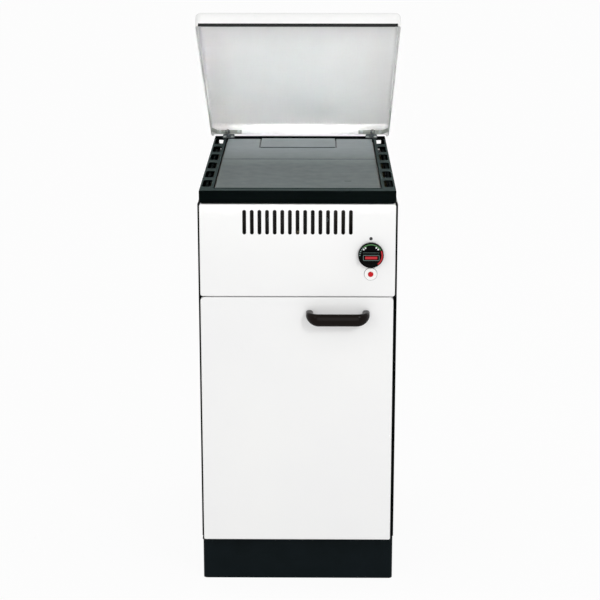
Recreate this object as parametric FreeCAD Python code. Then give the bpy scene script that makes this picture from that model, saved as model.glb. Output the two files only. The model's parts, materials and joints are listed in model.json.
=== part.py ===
import FreeCAD, Part
import math
import os

# Oil-fired cooking stove: a narrow free-standing body with a pot burner under a two-piece
# cooking plate, a hinged white lid over it, and a fuel compartment behind one door.
# Millimetres. +Z is up, the door faces -Y, and X is to the right of someone facing the door.
# The origin is on the floor, in the middle of the ground that the whole stove covers.

V = FreeCAD.Vector
RIGHT = V(1, 0, 0)
REAR = V(0, 1, 0)
UP = V(0, 0, 1)
SIDES = (-1, 1)
FULL_TURN = 360
QUARTER_TURN = 90

# Driving dimensions of the body.
width = 400.0
depth = 600.0
height = 850.0
sheet = 1.5
plinth_height = 105.0
plinth_setback = 45.0
face_margin = 5.0
seam = 2.0
hob_band = 26.0
panel_height = 189.0
door_depth = 22.0
door_gap = 4.0
back_inset = 20.0
flange = 16.0
shoulder_radius = 9.0
handle_reach = 40.0
spigot_reach = 40.0

# Clearances and the overrun of every cut.
overrun = 5.0
loose_fit = 0.3
running_fit = 0.05
screw_room = 0.3

# Places that follow from them.
front = (handle_reach - depth - spigot_reach) / 2
back = front + depth
half = width / 2
inner_half = half - sheet
face_half = half - face_margin
body_front = front + door_depth + door_gap
body_back = back - back_inset
hob_base = height - hob_band
panel_top = hob_base - seam
panel_base = panel_top - panel_height
door_top = panel_base - seam
door_base = plinth_height + seam
floor_top = plinth_height + sheet

# Hob, cooking plates and their carrier.
hob_sheet = 2.5
hob_edge_radius = 2.2
hob_roll = 6.0
hob_roll_wall = 2.0
hob_roll_width = 8.0
hob_shelf_lap = 1.0
rail_width = 33.0
rear_rail = 37.0
opening_half = half - rail_width
opening_front = 21.0
opening_rear = depth - rear_rail
opening_radius = 5.0
lip_width = 2.0
lip_rise = 0.8
plate_thickness = 8.0
plate_groove = 3.5
plate_seam = 2.0
plate_split_share = 0.535
plate_split = depth * plate_split_share
plate_radius = 3.0
plate_rise = 0.2
gasket_thickness = 2.0
gasket_width = 8.0
ledge_width = 12.0
carrier_sheet = 2.0
carrier_flange = 4.0
carrier_bar = 24.0
lifter_inset = 66.0
lifter_x = opening_half - lifter_inset
lifter_y = 90.0
lifter_length = 15.0
lifter_width = 4.0
lifter_depth = 5.0
cover_left = -87.0
cover_right = 80.0
cover_behind = 109.0
cover_front = opening_rear - cover_behind
cover_thickness = 4.5
cover_gap = 1.5
cover_bearing = 9.0
cover_rise = 1.2
plate_top = height + plate_rise
plate_under = plate_top - plate_thickness
ledge_top = plate_under - gasket_thickness
ledge_under = ledge_top - carrier_sheet
plate_half = opening_half - plate_groove
plate_front = front + opening_front + plate_groove
plate_rear = front + opening_rear - plate_groove

# Long openings in the hob's side rails, with a pressed tongue in each.
rail_slots = 6
rail_slot_inset = 18.0
rail_slot_x = half - rail_slot_inset
rail_slot_width = 18.0
rail_slot_length = 66.0
rail_slot_first = 67.0
rail_slot_last = 72.0
rail_slot_pitch = (depth - rail_slot_first - rail_slot_last) / (rail_slots - 1)
rail_slot_radius = 7.0
tongue_length = 32.0
tongue_width = 13.0
tongue_drop = 6.0
tongue_sheet = 1.2
hob_vent_height = 12.0
hob_vent_width = 42.0
hob_vent_inner_x = 54.0
hob_vent_inset = 35.0
hob_vent_outer_x = half - hob_vent_inset

# Control panel with its slots, knob and pilot lamp.
panel_radius = 5.0
edge_bend = 2.0
vents = 15
vent_pitch = 15.1
vent_width = 7.5
vent_height = 50.0
vent_drop = 36.5
vent_z = panel_top - vent_drop
knob_inset = 54.0
knob_drop = 102.0
knob_x = half - knob_inset
knob_z = panel_top - knob_drop
knob_radius = 25.5
knob_disc = 8.0
knob_gap = 1.5
knob_bevel = 1.2
grip_length = 33.0
grip_height = 12.0
grip_depth = 18.0
grip_round = 2.5
dial_inner = 17.8
dial_outer = 24.2
dial_depth = 0.8
dial_proud = 0.3
shaft_radius = 3.0
shaft_hole = 6.0
shaft_socket = 14.0
head_radius = 29.0
head_depth = 35.0
head_cap_radius = 12.0
head_cap_depth = 5.0
shaft_length = 30.0
dot_above = 32.6
dot_z = knob_z + dot_above
dot_radius = 3.25
dot_proud = 0.5
dot_stem = 2.0
dot_stem_length = 4.0
lamp_below = 40.0
lamp_z = knob_z - lamp_below
lamp_ring = 12.5
lamp_ring_depth = 2.5
lamp_sleeve = 7.7
lamp_sleeve_depth = 8.0
lamp_lens = 5.5
lamp_lens_proud = 2.0
lamp_lens_depth = 9.0
lamp_holder = 6.8
lamp_holder_depth = 16.0
lamp_tab_width = 6.0
lamp_tab_length = 8.0
lamp_tab_sheet = 0.8

# Cross rail between panel and door, with the catch on it.
rail_height = 46.0
rail_below = 28.0
rail_depth = 20.0
magnet_width = 40.0
magnet_height = 14.0
magnet_inset = 50.0
magnet_x = half - magnet_inset
magnet_gap = 0.4

# Door, its handle and hinges.
door_radius = 8.0
door_low_radius = 3.0
door_lap = 2.6
door_right = face_half - door_lap
door_panel_press = 3.0
door_press_margin = 40.0
handle_inset = 50.0
handle_length = 128.5
handle_drop = 38.0
handle_right = face_half - handle_inset
handle_left = handle_right - handle_length
handle_z = door_top - handle_drop
handle_height = 25.0
handle_thickness = 13.0
handle_bend = 24.0
handle_round = 5.5
handle_screw_depth = 12.0
pivot_inset = 7.0
pivot_setback = 10.0
pivot_radius = 2.5
pivot_length = 12.0
bush_wall = 1.3
bush_length = 15.0
bush_recess = 3.0
hinge_sheet = 1.5
hinge_ear_reach = 6.0
hinge_leg_width = 15.0
hinge_leg_height = 34.0
hinge_edge = 1.5

# Lid, its hinge and the angle at which it stands.
lid_overhang = 4.0
lid_half = half + lid_overhang
lid_short = 17.0
lid_length = depth - lid_short
lid_tail = 9.2
lid_depth = 30.0
lid_lift = 3.0
lid_sheet = 1.2
lid_radius = 12.0
lid_bend = 9.0
lid_rear_relief = 5.0
lid_open_angle = 32.0
lid_axis_inset = 9.0
lid_axis_rise = 11.0
trim_inset = 12.5
trim_end = 6.5
trim_height = 6.0
trim_wall = 1.0
trim_gap = 0.3
strap_sheet = 1.5
strap_height = 9.0
strap_below = 2.0
strap_length = 70.0
strap_inner_x = lid_half - strap_length
strap_arm = 130.0
strap_corner_gap = 12.0
knuckle_inset = 41.0
knuckle_x = lid_half - knuckle_inset
knuckle_sheet = 2.5
knuckle_radius = 5.5
knuckle_gap = 0.4
lid_pin_radius = 2.5
lid_pin_head = 4.0
lid_pin_head_depth = 1.6
leaf_width = 26.0
leaf_sheet = 2.0
leaf_length = 20.0
leaf_clear = 5.0
pad_depth = 7.0
pad_height = 7.0
pad_bend = 2.5
leaf_screw_inset = 6.0
strap_screw_inset = 7.0
strap_screw_outer_inset = 20.0
strap_screw_x = strap_inner_x + strap_screw_inset
strap_screw_outer_x = lid_half - strap_screw_outer_inset

# Small pan-head screws.
screw_radius = 2.0
screw_head = 3.6
screw_head_depth = 2.2
screw_reach = 6.0
rear_screw_rows = 4
rear_screw_margin = 40.0

# Combustion chamber, burner and flue.
chamber_side_room = 50.0
chamber_rear_room = 60.0
chamber_depth_below = 210.0
chamber_half = half - chamber_side_room
chamber_front = 62.0
chamber_rear = depth - chamber_rear_room
chamber_base = height - chamber_depth_below
chamber_wall = 2.0
chamber_rim_lap = 6.0
lining_thickness = 20.0
lining_below = 50.0
lining_top = height - lining_below
burner_inset = 168.0
burner_y = chamber_front + burner_inset
pot_share = 0.45
pot_radius = half * pot_share
pot_wall = 2.0
pot_rim_width = 15.0
pot_rim = pot_radius + pot_rim_width
pot_height = 188.0
pot_floor = 3.0
pot_hole_radius = 2.5
pot_hole_rows = 3
pot_hole_columns = 9
pot_hole_first = 60.0
pot_hole_pitch = 40.0
ring_share = 0.5
ring_inner = pot_radius * ring_share
ring_below = 80.0
ring_thickness = 3.0
ring_collar = 14.0
jacket_gap = 22.0
jacket_radius = pot_radius + jacket_gap
jacket_wall = 1.5
jacket_below = 14.0
jacket_rim_width = 12.0
jacket_rim = jacket_radius + jacket_rim_width
jacket_port = 14.0
air_port_radius = 26.0
air_port_above = 90.0
igniter_above = 52.0
igniter_radius = 6.0
igniter_reach = 26.0
igniter_stub_radius = 13.0
igniter_stub_wall = 2.0
igniter_stub_length = 18.0
igniter_flange = 3.0
igniter_tail = 24.0
flue_spare = 40.0
flue_radius = (chamber_depth_below - lining_below - flue_spare) / 2
flue_z = lining_top - flue_radius
flue_wall = 1.5
flue_rim_width = 18.0
flue_rim = flue_radius + flue_rim_width
flue_room = 3.0
cover_half = 65.0
cover_drop = 104.0
cover_base = lining_top - cover_drop
cover_height = 90.0
cover_sheet = 3.0
cover_window_margin = 18.0
cover_stud_margin = 8.0
stud_radius = 2.5
stud_length = 9.0
nut_flat = 4.6
nut_depth = 4.0
glass_radius = 15.0
glass_thickness = 2.0
glass_seat = 3.0
mat_thickness = 25.0
mat_front = 60.0
mat_rear_room = 55.0
mat_rear = depth - mat_rear_room
mat_below = 40.0
mat_base = chamber_base - mat_below
mat_top_below = 35.0
mat_top = height - mat_top_below

# Oil supply.
shield_below = 240.0
shield_z = chamber_base - shield_below
shield_front = 46.0
shield_lip = 15.0
regulator_inset = 22.0
regulator_width = 74.0
regulator_right = half - regulator_inset
regulator_left = regulator_right - regulator_width
regulator_front = 62.0
regulator_rear = 122.0
regulator_below = 170.0
regulator_base = chamber_base - regulator_below
regulator_height = 62.0
regulator_round = 6.0
regulator_lid = 6.0
regulator_lid_over = 2.0
regulator_stub_radius = 6.0
regulator_stub_length = 9.0
spindle_radius = 4.0
spindle_length = 8.0
lever_hub = 9.0
lever_arm = 27.0
lever_width = 9.0
lever_thickness = 5.0
lever_gap = 0.5
lever_inset = 72.0
lever_x = half - lever_inset
bracket_sheet = 2.0
bracket_height = 50.0
pipe_radius = 4.0
pipe_bend = 14.0
pipe_port = 7.0
feed_run_above = 28.0
feed_run_z = shield_z + feed_run_above
cable_radius = 2.5
cable_bend = 9.0
cable_front_y = 52.0
cable_rear_y = 82.0
cable_step = 34.0
tank_side_room = 60.0
tank_half = half - tank_side_room
tank_front = 50.0
tank_share = 0.6
tank_rear = depth * tank_share
above_tank = 103.5
tank_height = shield_z - floor_top - above_tank
tank_wall = 2.0
tank_radius = 18.0
cradle_height = 6.0
cradle_width = 30.0
cradle_inset = 40.0
cradle_x = tank_half - cradle_inset
cradle_stop = 14.0
neck_inset = 55.0
neck_x = neck_inset - tank_half
neck_behind = 60.0
neck_y = tank_front + neck_behind
neck_radius = 25.0
neck_wall = 2.0
neck_height = 18.0
cap_wall = 2.5
cap_skirt = 14.0
cap_grip_width = 9.0
cap_grip_height = 11.0
pump_inset = 80.0
pump_x = tank_half - pump_inset
pump_behind = 70.0
pump_y = tank_front + pump_behind
pump_base = 35.0
pump_base_height = 14.0
pump_radius = 28.0
pump_height = 52.0
pump_cap_radius = 12.0
pump_cap_height = 8.0
suction_radius = 5.0
suction_gap = 12.0
suction_room = 1.0

# Rear panel details.
rear_slots = 8
rear_slot_pitch = 16.0
rear_slot_half = 70.0
rear_slot_height = 6.0
rear_slot_z = 250.0
gland_inset = 50.0
gland_x = gland_inset - half
gland_above = 63.5
gland_z = floor_top + gland_above
gland_nut = 11.0
gland_depth = 12.0
gland_thread = 8.0
gland_inner = 10.0
gland_bore = 3.5
plinth_radius = 8.0
plinth_lip = 18.0
pan_lip = 20.0
panel_inner_margin = 1.0


def block(x0, x1, y0, y1, z0, z1):
    """A box between two places on each axis."""
    return Part.makeBox(x1 - x0, y1 - y0, z1 - z0, V(x0, y0, z0))


def rod(start, axis, length, radius):
    """A round bar from start along axis."""
    return Part.makeCylinder(radius, length, start, axis)


def tube(start, axis, length, outer, inner):
    """A round bar with a bore right through it."""
    bore = rod(start - axis * overrun, axis, length + overrun + overrun, inner)
    return rod(start, axis, length, outer).cut(bore)


def fillet(shape, radius, wanted):
    """Rounds the edges for which wanted says yes."""
    return shape.makeFillet(radius, [edge for edge in shape.Edges if wanted(edge)])


def runs_along(edge, axis):
    """Whether an edge is straight and lies along axis."""
    if not isinstance(edge.Curve, Part.Line):
        return False
    return abs(abs(edge.Curve.Direction.dot(axis)) - 1) < 1e-6


def lies_at(edge, axis, place):
    """Whether the middle of an edge is at a place along axis."""
    return abs(edge.CenterOfMass.dot(axis) - place) < 1e-6


def rounded_block(x0, x1, y0, y1, z0, z1, axis, radius):
    """A box whose four edges along axis are rounded."""
    return fillet(block(x0, x1, y0, y1, z0, z1), radius, lambda edge: runs_along(edge, axis))


def pipe(points, radius, bend):
    """A round pipe through points, with an arc of radius bend at each corner."""
    edges = []
    start = points[0]
    for before, corner, after in zip(points, points[1:], points[2:]):
        into = (corner - before).normalize()
        out = (after - corner).normalize()
        turn = into.getAngle(out)
        setback = bend * math.tan(turn / 2)
        arc_start = corner - into * setback
        arc_end = corner + out * setback
        inward = (out - into).normalize()
        middle = corner + inward * (bend / math.cos(turn / 2) - bend)
        edges.append(Part.LineSegment(start, arc_start).toShape())
        edges.append(Part.Arc(arc_start, middle, arc_end).toShape())
        start = arc_end
    edges.append(Part.LineSegment(start, points[-1]).toShape())
    route = Part.Wire(edges)
    heading = (points[1] - points[0]).normalize()
    ring = Part.Wire([Part.makeCircle(radius, points[0], heading)])
    return route.makePipeShell([ring], True, False)


def screw(seat, axis, reach=screw_reach):
    """A pan-head screw: its head stands on seat, its shank runs along axis."""
    head = rod(seat - axis * screw_head_depth, axis, screw_head_depth, screw_head)
    crown = (seat - axis * screw_head_depth).dot(axis)
    head = fillet(head, screw_head_depth / 2, lambda edge: lies_at(edge, axis, crown))
    return head.fuse(rod(seat, axis, reach, screw_radius))


def screw_hole(seat, axis):
    """The hole that a screw's shank passes through."""
    return rod(seat - axis * overrun, axis, overrun + screw_reach + overrun, screw_radius + screw_room)


def joined(shapes):
    """Several touching solids as one."""
    first, *others = shapes
    return first.fuse(others).removeSplitter() if others else first


def without(shape, cuts):
    """A shape less every one of the cuts."""
    for cut in cuts:
        shape = shape.cut(cut)
    return shape


def both_sides(shape):
    """A piece and its mirror image across the middle of the stove."""
    return [shape, shape.mirror(V(0, 0, 0), RIGHT)]


def save(name, shape):
    """Writes one piece, or one group of separate solids."""
    if isinstance(shape, list):
        shape = Part.makeCompound(shape)
    elif len(shape.Solids) == 1:
        shape = shape.Solids[0]
    print(name, len(shape.Solids), "solids", "valid" if shape.isValid() else "NOT VALID")
    shape.exportStep("parts/" + name + ".step")


def rear_screw_places():
    """Where the rear panel is screwed to the side panels, on both sides."""
    low = plinth_height + rear_screw_margin
    high = hob_base - rear_screw_margin
    step = (high - low) / (rear_screw_rows - 1)
    x = inner_half - flange / 2
    return [V(side * x, body_back, low + row * step) for side in SIDES for row in range(rear_screw_rows)]


def plinth_frame():
    """Recessed black base: a pressed ring with a lip at its foot and at its top."""
    y0 = front + plinth_setback
    outer = rounded_block(-half, half, y0, body_back, 0, plinth_height, UP, plinth_radius)
    x = half - sheet
    core = rounded_block(
        -x, x, y0 + sheet, body_back - sheet, sheet, plinth_height - sheet, UP, plinth_radius - sheet
    )
    x = half - plinth_lip
    window = block(-x, x, y0 + plinth_lip, body_back - plinth_lip, -overrun, plinth_height + overrun)
    return without(outer, [core, window])


def base_pan():
    """Floor of the body, with a lip turned up at its front and back."""
    y0 = body_front + sheet
    y1 = body_back - sheet - sheet
    pan = block(-inner_half, inner_half, y0, y1, plinth_height, floor_top)
    x = inner_half - flange - panel_inner_margin
    lip_front = block(-x, x, y0, y0 + sheet, floor_top, floor_top + pan_lip)
    lip_rear = block(-x, x, y1 - sheet, y1, floor_top, floor_top + pan_lip)
    return joined([pan, lip_front, lip_rear])


def side_panel():
    """Right-hand casing sheet: a round shoulder at its top, its other edges turned in."""
    x0 = inner_half - flange
    outer = block(x0, half, body_front, body_back, plinth_height, hob_base)
    outer = fillet(
        outer, shoulder_radius,
        lambda edge: runs_along(edge, REAR) and lies_at(edge, UP, hob_base) and lies_at(edge, RIGHT, half),
    )
    y1 = body_back - sheet
    z1 = hob_base - sheet
    core = block(x0 - overrun, inner_half, body_front + sheet, y1 - sheet, plinth_height - overrun, z1)
    core = fillet(
        core, shoulder_radius - sheet,
        lambda edge: runs_along(edge, REAR) and lies_at(edge, UP, z1) and lies_at(edge, RIGHT, inner_half),
    )
    rear_room = block(x0 - overrun, inner_half, y1, body_back + overrun, plinth_height - overrun, z1)
    rear_room = fillet(
        rear_room, shoulder_radius - sheet,
        lambda edge: runs_along(edge, REAR) and lies_at(edge, UP, z1) and lies_at(edge, RIGHT, inner_half),
    )
    cuts = [core, rear_room] + [screw_hole(place, -REAR) for place in rear_screw_places()]
    return without(outer, cuts)


def rear_panel():
    """Rear casing sheet with the flue's hole, air slots and the cord's hole."""
    y0 = body_back - sheet
    z1 = hob_base - sheet
    panel = block(-inner_half, inner_half, y0, body_back, plinth_height, z1)
    panel = fillet(
        panel, shoulder_radius - sheet, lambda edge: runs_along(edge, REAR) and edge.CenterOfMass.z > flue_z
    )
    cuts = [rod(V(0, y0 - overrun, flue_z), REAR, sheet + overrun + overrun, flue_radius + flue_room)]
    for row in range(rear_slots):
        z = rear_slot_z + row * rear_slot_pitch
        slot = rounded_block(
            -rear_slot_half, rear_slot_half, y0 - overrun, body_back + overrun,
            z, z + rear_slot_height, REAR, rear_slot_height / 3,
        )
        cuts.append(slot)
    gland = V(gland_x, y0 - overrun, gland_z)
    cuts.append(rod(gland, REAR, sheet + overrun + overrun, gland_thread + screw_room))
    cuts += [screw_hole(place, -REAR) for place in rear_screw_places()]
    return without(panel, cuts)


def front_crossrail():
    """Channel that joins the side panels between the door and the control panel."""
    x = inner_half - flange
    z0 = panel_base - rail_below
    z1 = z0 + rail_height
    face = block(-x, x, body_front, body_front + sheet, z0, z1)
    lower = block(-x, x, body_front, body_front + rail_depth, z0, z0 + sheet)
    upper = block(-x, x, body_front, body_front + rail_depth, z1 - sheet, z1)
    tabs = both_sides(
        block(x - sheet, inner_half, body_front + sheet, body_front + sheet + sheet, z0, z1)
    )
    return joined([face, lower, upper] + tabs)


def catch_magnet():
    """Magnetic catch on the cross rail, just short of the closed door."""
    y0 = front + door_depth + magnet_gap
    z0 = panel_base - rail_below / 2 - magnet_height / 2
    x0 = magnet_x - magnet_width / 2
    case = block(x0, x0 + magnet_width, y0, body_front, z0, z0 + magnet_height)
    return fillet(case, edge_bend / 2, lambda edge: runs_along(edge, REAR))


def face_blank(x0, x1, y0, y1, z0, z1, radius, low_radius):
    """A flat box with rounded corners, the lower two by a radius of their own."""
    middle = (z0 + z1) / 2
    blank = block(x0, x1, y0, y1, z0, z1)
    blank = fillet(
        blank, radius, lambda edge: runs_along(edge, REAR) and edge.CenterOfMass.z > middle
    )
    return fillet(
        blank, low_radius, lambda edge: runs_along(edge, REAR) and edge.CenterOfMass.z < middle
    )


def pressed_face(right, z0, z1, radius, low_radius, depth_y):
    """A white front: a rounded pan, open at the back, with bent edges."""
    outer = face_blank(-face_half, right, front, front + depth_y, z0, z1, radius, low_radius)
    outer = fillet(outer, edge_bend, lambda edge: lies_at(edge, REAR, front))
    core = face_blank(
        sheet - face_half, right - sheet, front + sheet, front + depth_y + overrun,
        z0 + sheet, z1 - sheet, radius - sheet, low_radius - sheet,
    )
    return outer.cut(core)


def control_panel():
    """Upper white front with a row of upright air slots and the holes for the controls."""
    panel = pressed_face(
        face_half, panel_base, panel_top, panel_radius, panel_radius, door_depth + door_gap
    )
    cuts = []
    for place in range(vents):
        x = (place - (vents - 1) / 2) * vent_pitch
        slot = block(
            x - vent_width / 2, x + vent_width / 2, front - overrun, front + sheet + overrun,
            vent_z - vent_height / 2, vent_z + vent_height / 2,
        )
        cuts.append(fillet(slot, vent_width * 0.49, lambda edge: runs_along(edge, REAR)))
    through = sheet + overrun + overrun
    cuts.append(rod(V(knob_x, front - overrun, knob_z), REAR, through, shaft_hole))
    cuts.append(rod(V(knob_x, front - overrun, lamp_z), REAR, through, lamp_sleeve))
    cuts.append(rod(V(knob_x, front - overrun, dot_z), REAR, through, dot_stem))
    return without(panel, cuts)


def index_dot():
    """Black plug above the knob that its scale is read against."""
    head = rod(V(knob_x, front - dot_proud, dot_z), REAR, dot_proud, dot_radius)
    stem = rod(V(knob_x, front, dot_z), REAR, dot_stem_length, dot_stem)
    return joined([head, stem])


def pilot_lamp_bezel():
    """Bright ring of the pilot lamp, with the sleeve that passes through the panel."""
    ring = rod(V(knob_x, front - lamp_ring_depth, lamp_z), REAR, lamp_ring_depth, lamp_ring)
    ring = fillet(ring, lamp_ring_depth / 2, lambda edge: lies_at(edge, REAR, front - lamp_ring_depth))
    sleeve = rod(V(knob_x, front, lamp_z), REAR, lamp_sleeve_depth, lamp_sleeve)
    start = V(knob_x, front - lamp_ring_depth - overrun, lamp_z)
    bore = rod(start, REAR, lamp_ring_depth + lamp_sleeve_depth + overrun + overrun, lamp_lens)
    return joined([ring, sleeve]).cut(bore)


def pilot_lamp_lens():
    """Red lens, domed where it stands out of the ring."""
    y0 = front - lamp_ring_depth - lamp_lens_proud
    lens = rod(V(knob_x, y0, lamp_z), REAR, lamp_lens_depth, lamp_lens)
    return fillet(lens, lamp_lens_proud, lambda edge: lies_at(edge, REAR, y0))


def pilot_lamp_holder():
    """Holder behind the lens, with two contact tabs."""
    y0 = front - lamp_ring_depth - lamp_lens_proud + lamp_lens_depth
    sleeve_end = front + lamp_sleeve_depth
    body = rod(V(knob_x, sleeve_end, lamp_z), REAR, lamp_holder_depth, lamp_holder)
    nose = rod(V(knob_x, y0, lamp_z), REAR, sleeve_end - y0, lamp_lens - running_fit)
    y1 = sleeve_end + lamp_holder_depth
    tabs = []
    for side in SIDES:
        x = knob_x + side * lamp_holder / 2
        tabs.append(block(
            x - lamp_tab_sheet / 2, x + lamp_tab_sheet / 2, y1, y1 + lamp_tab_length,
            lamp_z - lamp_tab_width / 2, lamp_z + lamp_tab_width / 2,
        ))
    return joined([body, nose] + tabs)


def control_head():
    """Round control head on the back of the panel, with the shaft's bearing in it."""
    y0 = front + sheet
    body = rod(V(knob_x, y0, knob_z), REAR, head_depth, head_radius)
    body = fillet(body, edge_bend, lambda edge: lies_at(edge, REAR, y0 + head_depth))
    cap = rod(V(knob_x, y0 + head_depth, knob_z), REAR, head_cap_depth, head_cap_radius)
    bore = rod(V(knob_x, y0 - overrun, knob_z), REAR, shaft_length + overrun, shaft_radius + running_fit)
    return joined([body, cap]).cut(bore)


def control_cable():
    """Sheathed cable from the control head down to the oil regulator."""
    start_y = front + sheet + head_depth + head_cap_depth
    top = regulator_base + regulator_height + regulator_lid
    x = knob_x
    points = [
        V(x, start_y, knob_z),
        V(x, front + cable_front_y, knob_z),
        V(x, front + cable_front_y, top + cable_step),
        V(x, front + cable_rear_y, top + cable_step),
        V(x, front + cable_rear_y, top),
    ]
    return pipe(points, cable_radius, cable_bend)


def knob():
    """Black knob: a disc with a dial round it and a grip bar across its middle."""
    y1 = front - knob_gap
    y0 = y1 - knob_disc
    disc = rod(V(knob_x, y0, knob_z), REAR, knob_disc, knob_radius)
    disc = fillet(disc, knob_bevel, lambda edge: lies_at(edge, REAR, y0))
    groove = tube(V(knob_x, y0 - overrun, knob_z), REAR, overrun + dial_depth, dial_outer, dial_inner)
    grip = rounded_block(
        knob_x - grip_length / 2, knob_x + grip_length / 2, y0 - grip_depth, y0 + knob_bevel,
        knob_z - grip_height / 2, knob_z + grip_height / 2, REAR, grip_round,
    )
    grip = fillet(grip, grip_round / 2, lambda edge: lies_at(edge, REAR, y0 - grip_depth))
    socket = rod(V(knob_x, y1 - shaft_socket, knob_z), REAR, shaft_socket + overrun, shaft_radius)
    return joined([disc.cut(groove), grip]).cut(socket)


def knob_dial():
    """Printed ring set into the knob's face."""
    y0 = front - knob_gap - knob_disc - dial_proud
    return tube(V(knob_x, y0, knob_z), REAR, dial_depth + dial_proud, dial_outer, dial_inner)


def knob_shaft():
    """Steel shaft from the knob, through the panel, into the control head."""
    y0 = front - knob_gap - shaft_socket
    y1 = front + sheet + shaft_length - loose_fit
    return rod(V(knob_x, y0, knob_z), REAR, y1 - y0, shaft_radius)


def handle_screw_places():
    """The two places where the handle is screwed on, at the inside of the door's skin."""
    x = handle_thickness / 2
    return [V(place, front + sheet, handle_z) for place in (handle_left + x, handle_right - x)]


def door_skin():
    """White door: a pan with bent edges, pierced for the bushes and the handle."""
    skin = pressed_face(
        door_right, door_base, door_top, door_radius, door_low_radius, door_depth
    )
    cuts = [screw_hole(place, -REAR) for place in handle_screw_places()]
    x = pivot_inset - face_half
    y = front + pivot_setback
    hole = pivot_radius + bush_wall
    reach = overrun + bush_recess + bush_length
    cuts.append(rod(V(x, y, door_base - overrun), UP, reach, hole))
    cuts.append(rod(V(x, y, door_top + overrun), -UP, reach, hole))
    return without(skin, cuts)


def door_liner():
    """Inner sheet that closes the door's back, with a panel pressed into it."""
    x0 = sheet - face_half
    x1 = door_right - sheet
    y1 = front + door_depth
    z0 = door_base + sheet
    z1 = door_top - sheet
    liner = face_blank(
        x0, x1, y1 - sheet, y1, z0, z1, door_radius - sheet, door_low_radius - sheet
    )
    x0 += door_press_margin
    x1 -= door_press_margin
    z0 += door_press_margin
    z1 -= door_press_margin
    dent = rounded_block(
        x0, x1, y1 - sheet - door_panel_press, y1 - sheet, z0, z1, REAR, door_radius
    )
    hollow = rounded_block(
        x0 + sheet, x1 - sheet, y1 - door_panel_press, y1 + overrun, z0 + sheet, z1 - sheet,
        REAR, door_radius - sheet,
    )
    return joined([liner, dent]).cut(hollow)


def door_handle():
    """Dark bow handle: a flat-sided bar that turns back into the door at both ends."""
    y0 = front
    y1 = front - handle_reach + handle_thickness / 2
    x0 = handle_left + handle_thickness / 2
    x1 = handle_right - handle_thickness / 2
    bend = handle_bend
    share = 1 - math.sqrt(0.5)
    edges = [
        Part.LineSegment(V(x0, y0, handle_z), V(x0, y1 + bend, handle_z)).toShape(),
        Part.Arc(
            V(x0, y1 + bend, handle_z),
            V(x0 + bend * share, y1 + bend * share, handle_z),
            V(x0 + bend, y1, handle_z),
        ).toShape(),
        Part.LineSegment(V(x0 + bend, y1, handle_z), V(x1 - bend, y1, handle_z)).toShape(),
        Part.Arc(
            V(x1 - bend, y1, handle_z),
            V(x1 - bend * share, y1 + bend * share, handle_z),
            V(x1, y1 + bend, handle_z),
        ).toShape(),
        Part.LineSegment(V(x1, y1 + bend, handle_z), V(x1, y0, handle_z)).toShape(),
    ]
    section = rounded_block(
        x0 - handle_thickness / 2, x0 + handle_thickness / 2, y0 - overrun, y0,
        handle_z - handle_height / 2, handle_z + handle_height / 2, REAR, handle_round,
    )
    outline = [face for face in section.Faces if abs(face.CenterOfMass.y - y0) < 1e-6][0].OuterWire
    bow = Part.Wire(edges).makePipeShell([outline], True, False)
    holes = [rod(place, -REAR, sheet + handle_screw_depth, screw_radius) for place in handle_screw_places()]
    return without(bow, holes)


def handle_screws():
    """Two screws through the door's skin into the handle's feet."""
    reach = sheet + handle_screw_depth
    return [screw(place, -REAR, reach) for place in handle_screw_places()]


def door_bushes():
    """Bearing bushes in the door's lower and upper edges."""
    x = pivot_inset - face_half
    y = front + pivot_setback
    outer = pivot_radius + bush_wall
    inner = pivot_radius + running_fit
    return [
        tube(V(x, y, door_base + bush_recess), UP, bush_length, outer, inner),
        tube(V(x, y, door_top - bush_recess), -UP, bush_length, outer, inner),
    ]


def hinge_ears():
    """Lower and upper ear height spans, in the seams below and above the door."""
    room = (seam - hinge_sheet) / 2
    return [
        (door_base - room - hinge_sheet, UP),
        (door_top + room, -UP),
    ]


def door_hinge_brackets():
    """Two small brackets: a leg on the casing's front edge and an ear that carries a pin."""
    x0 = hinge_edge - half
    x1 = x0 + hinge_leg_width
    y_pin = front + pivot_setback
    brackets = []
    for z0, towards in hinge_ears():
        ear = block(x0, x1, y_pin - hinge_ear_reach, body_front, z0, z0 + hinge_sheet)
        ear = fillet(
            ear, hinge_ear_reach - hinge_edge,
            lambda edge: runs_along(edge, UP) and lies_at(edge, REAR, y_pin - hinge_ear_reach),
        )
        z_leg = z0 if towards.z > 0 else z0 + hinge_sheet - hinge_leg_height
        leg = block(x0, x1, body_front - hinge_sheet, body_front, z_leg, z_leg + hinge_leg_height)
        pin_x = pivot_inset - face_half
        hole = rod(V(pin_x, y_pin, z0 - overrun), UP, hinge_sheet + overrun + overrun, pivot_radius)
        brackets.append(joined([ear, leg]).cut(hole))
    return brackets


def door_hinge_pins():
    """Two pins, pressed into the ears and turning in the door's bushes."""
    x = pivot_inset - face_half
    y = front + pivot_setback
    pins = []
    for z0, towards in hinge_ears():
        start = z0 if towards.z > 0 else z0 + hinge_sheet
        pins.append(rod(V(x, y, start), towards, hinge_sheet + pivot_length, pivot_radius))
    return pins


def rail_slot_centres():
    """Middle of each long opening in a side rail, measured along the stove."""
    return [front + rail_slot_first + place * rail_slot_pitch for place in range(rail_slots)]


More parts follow.
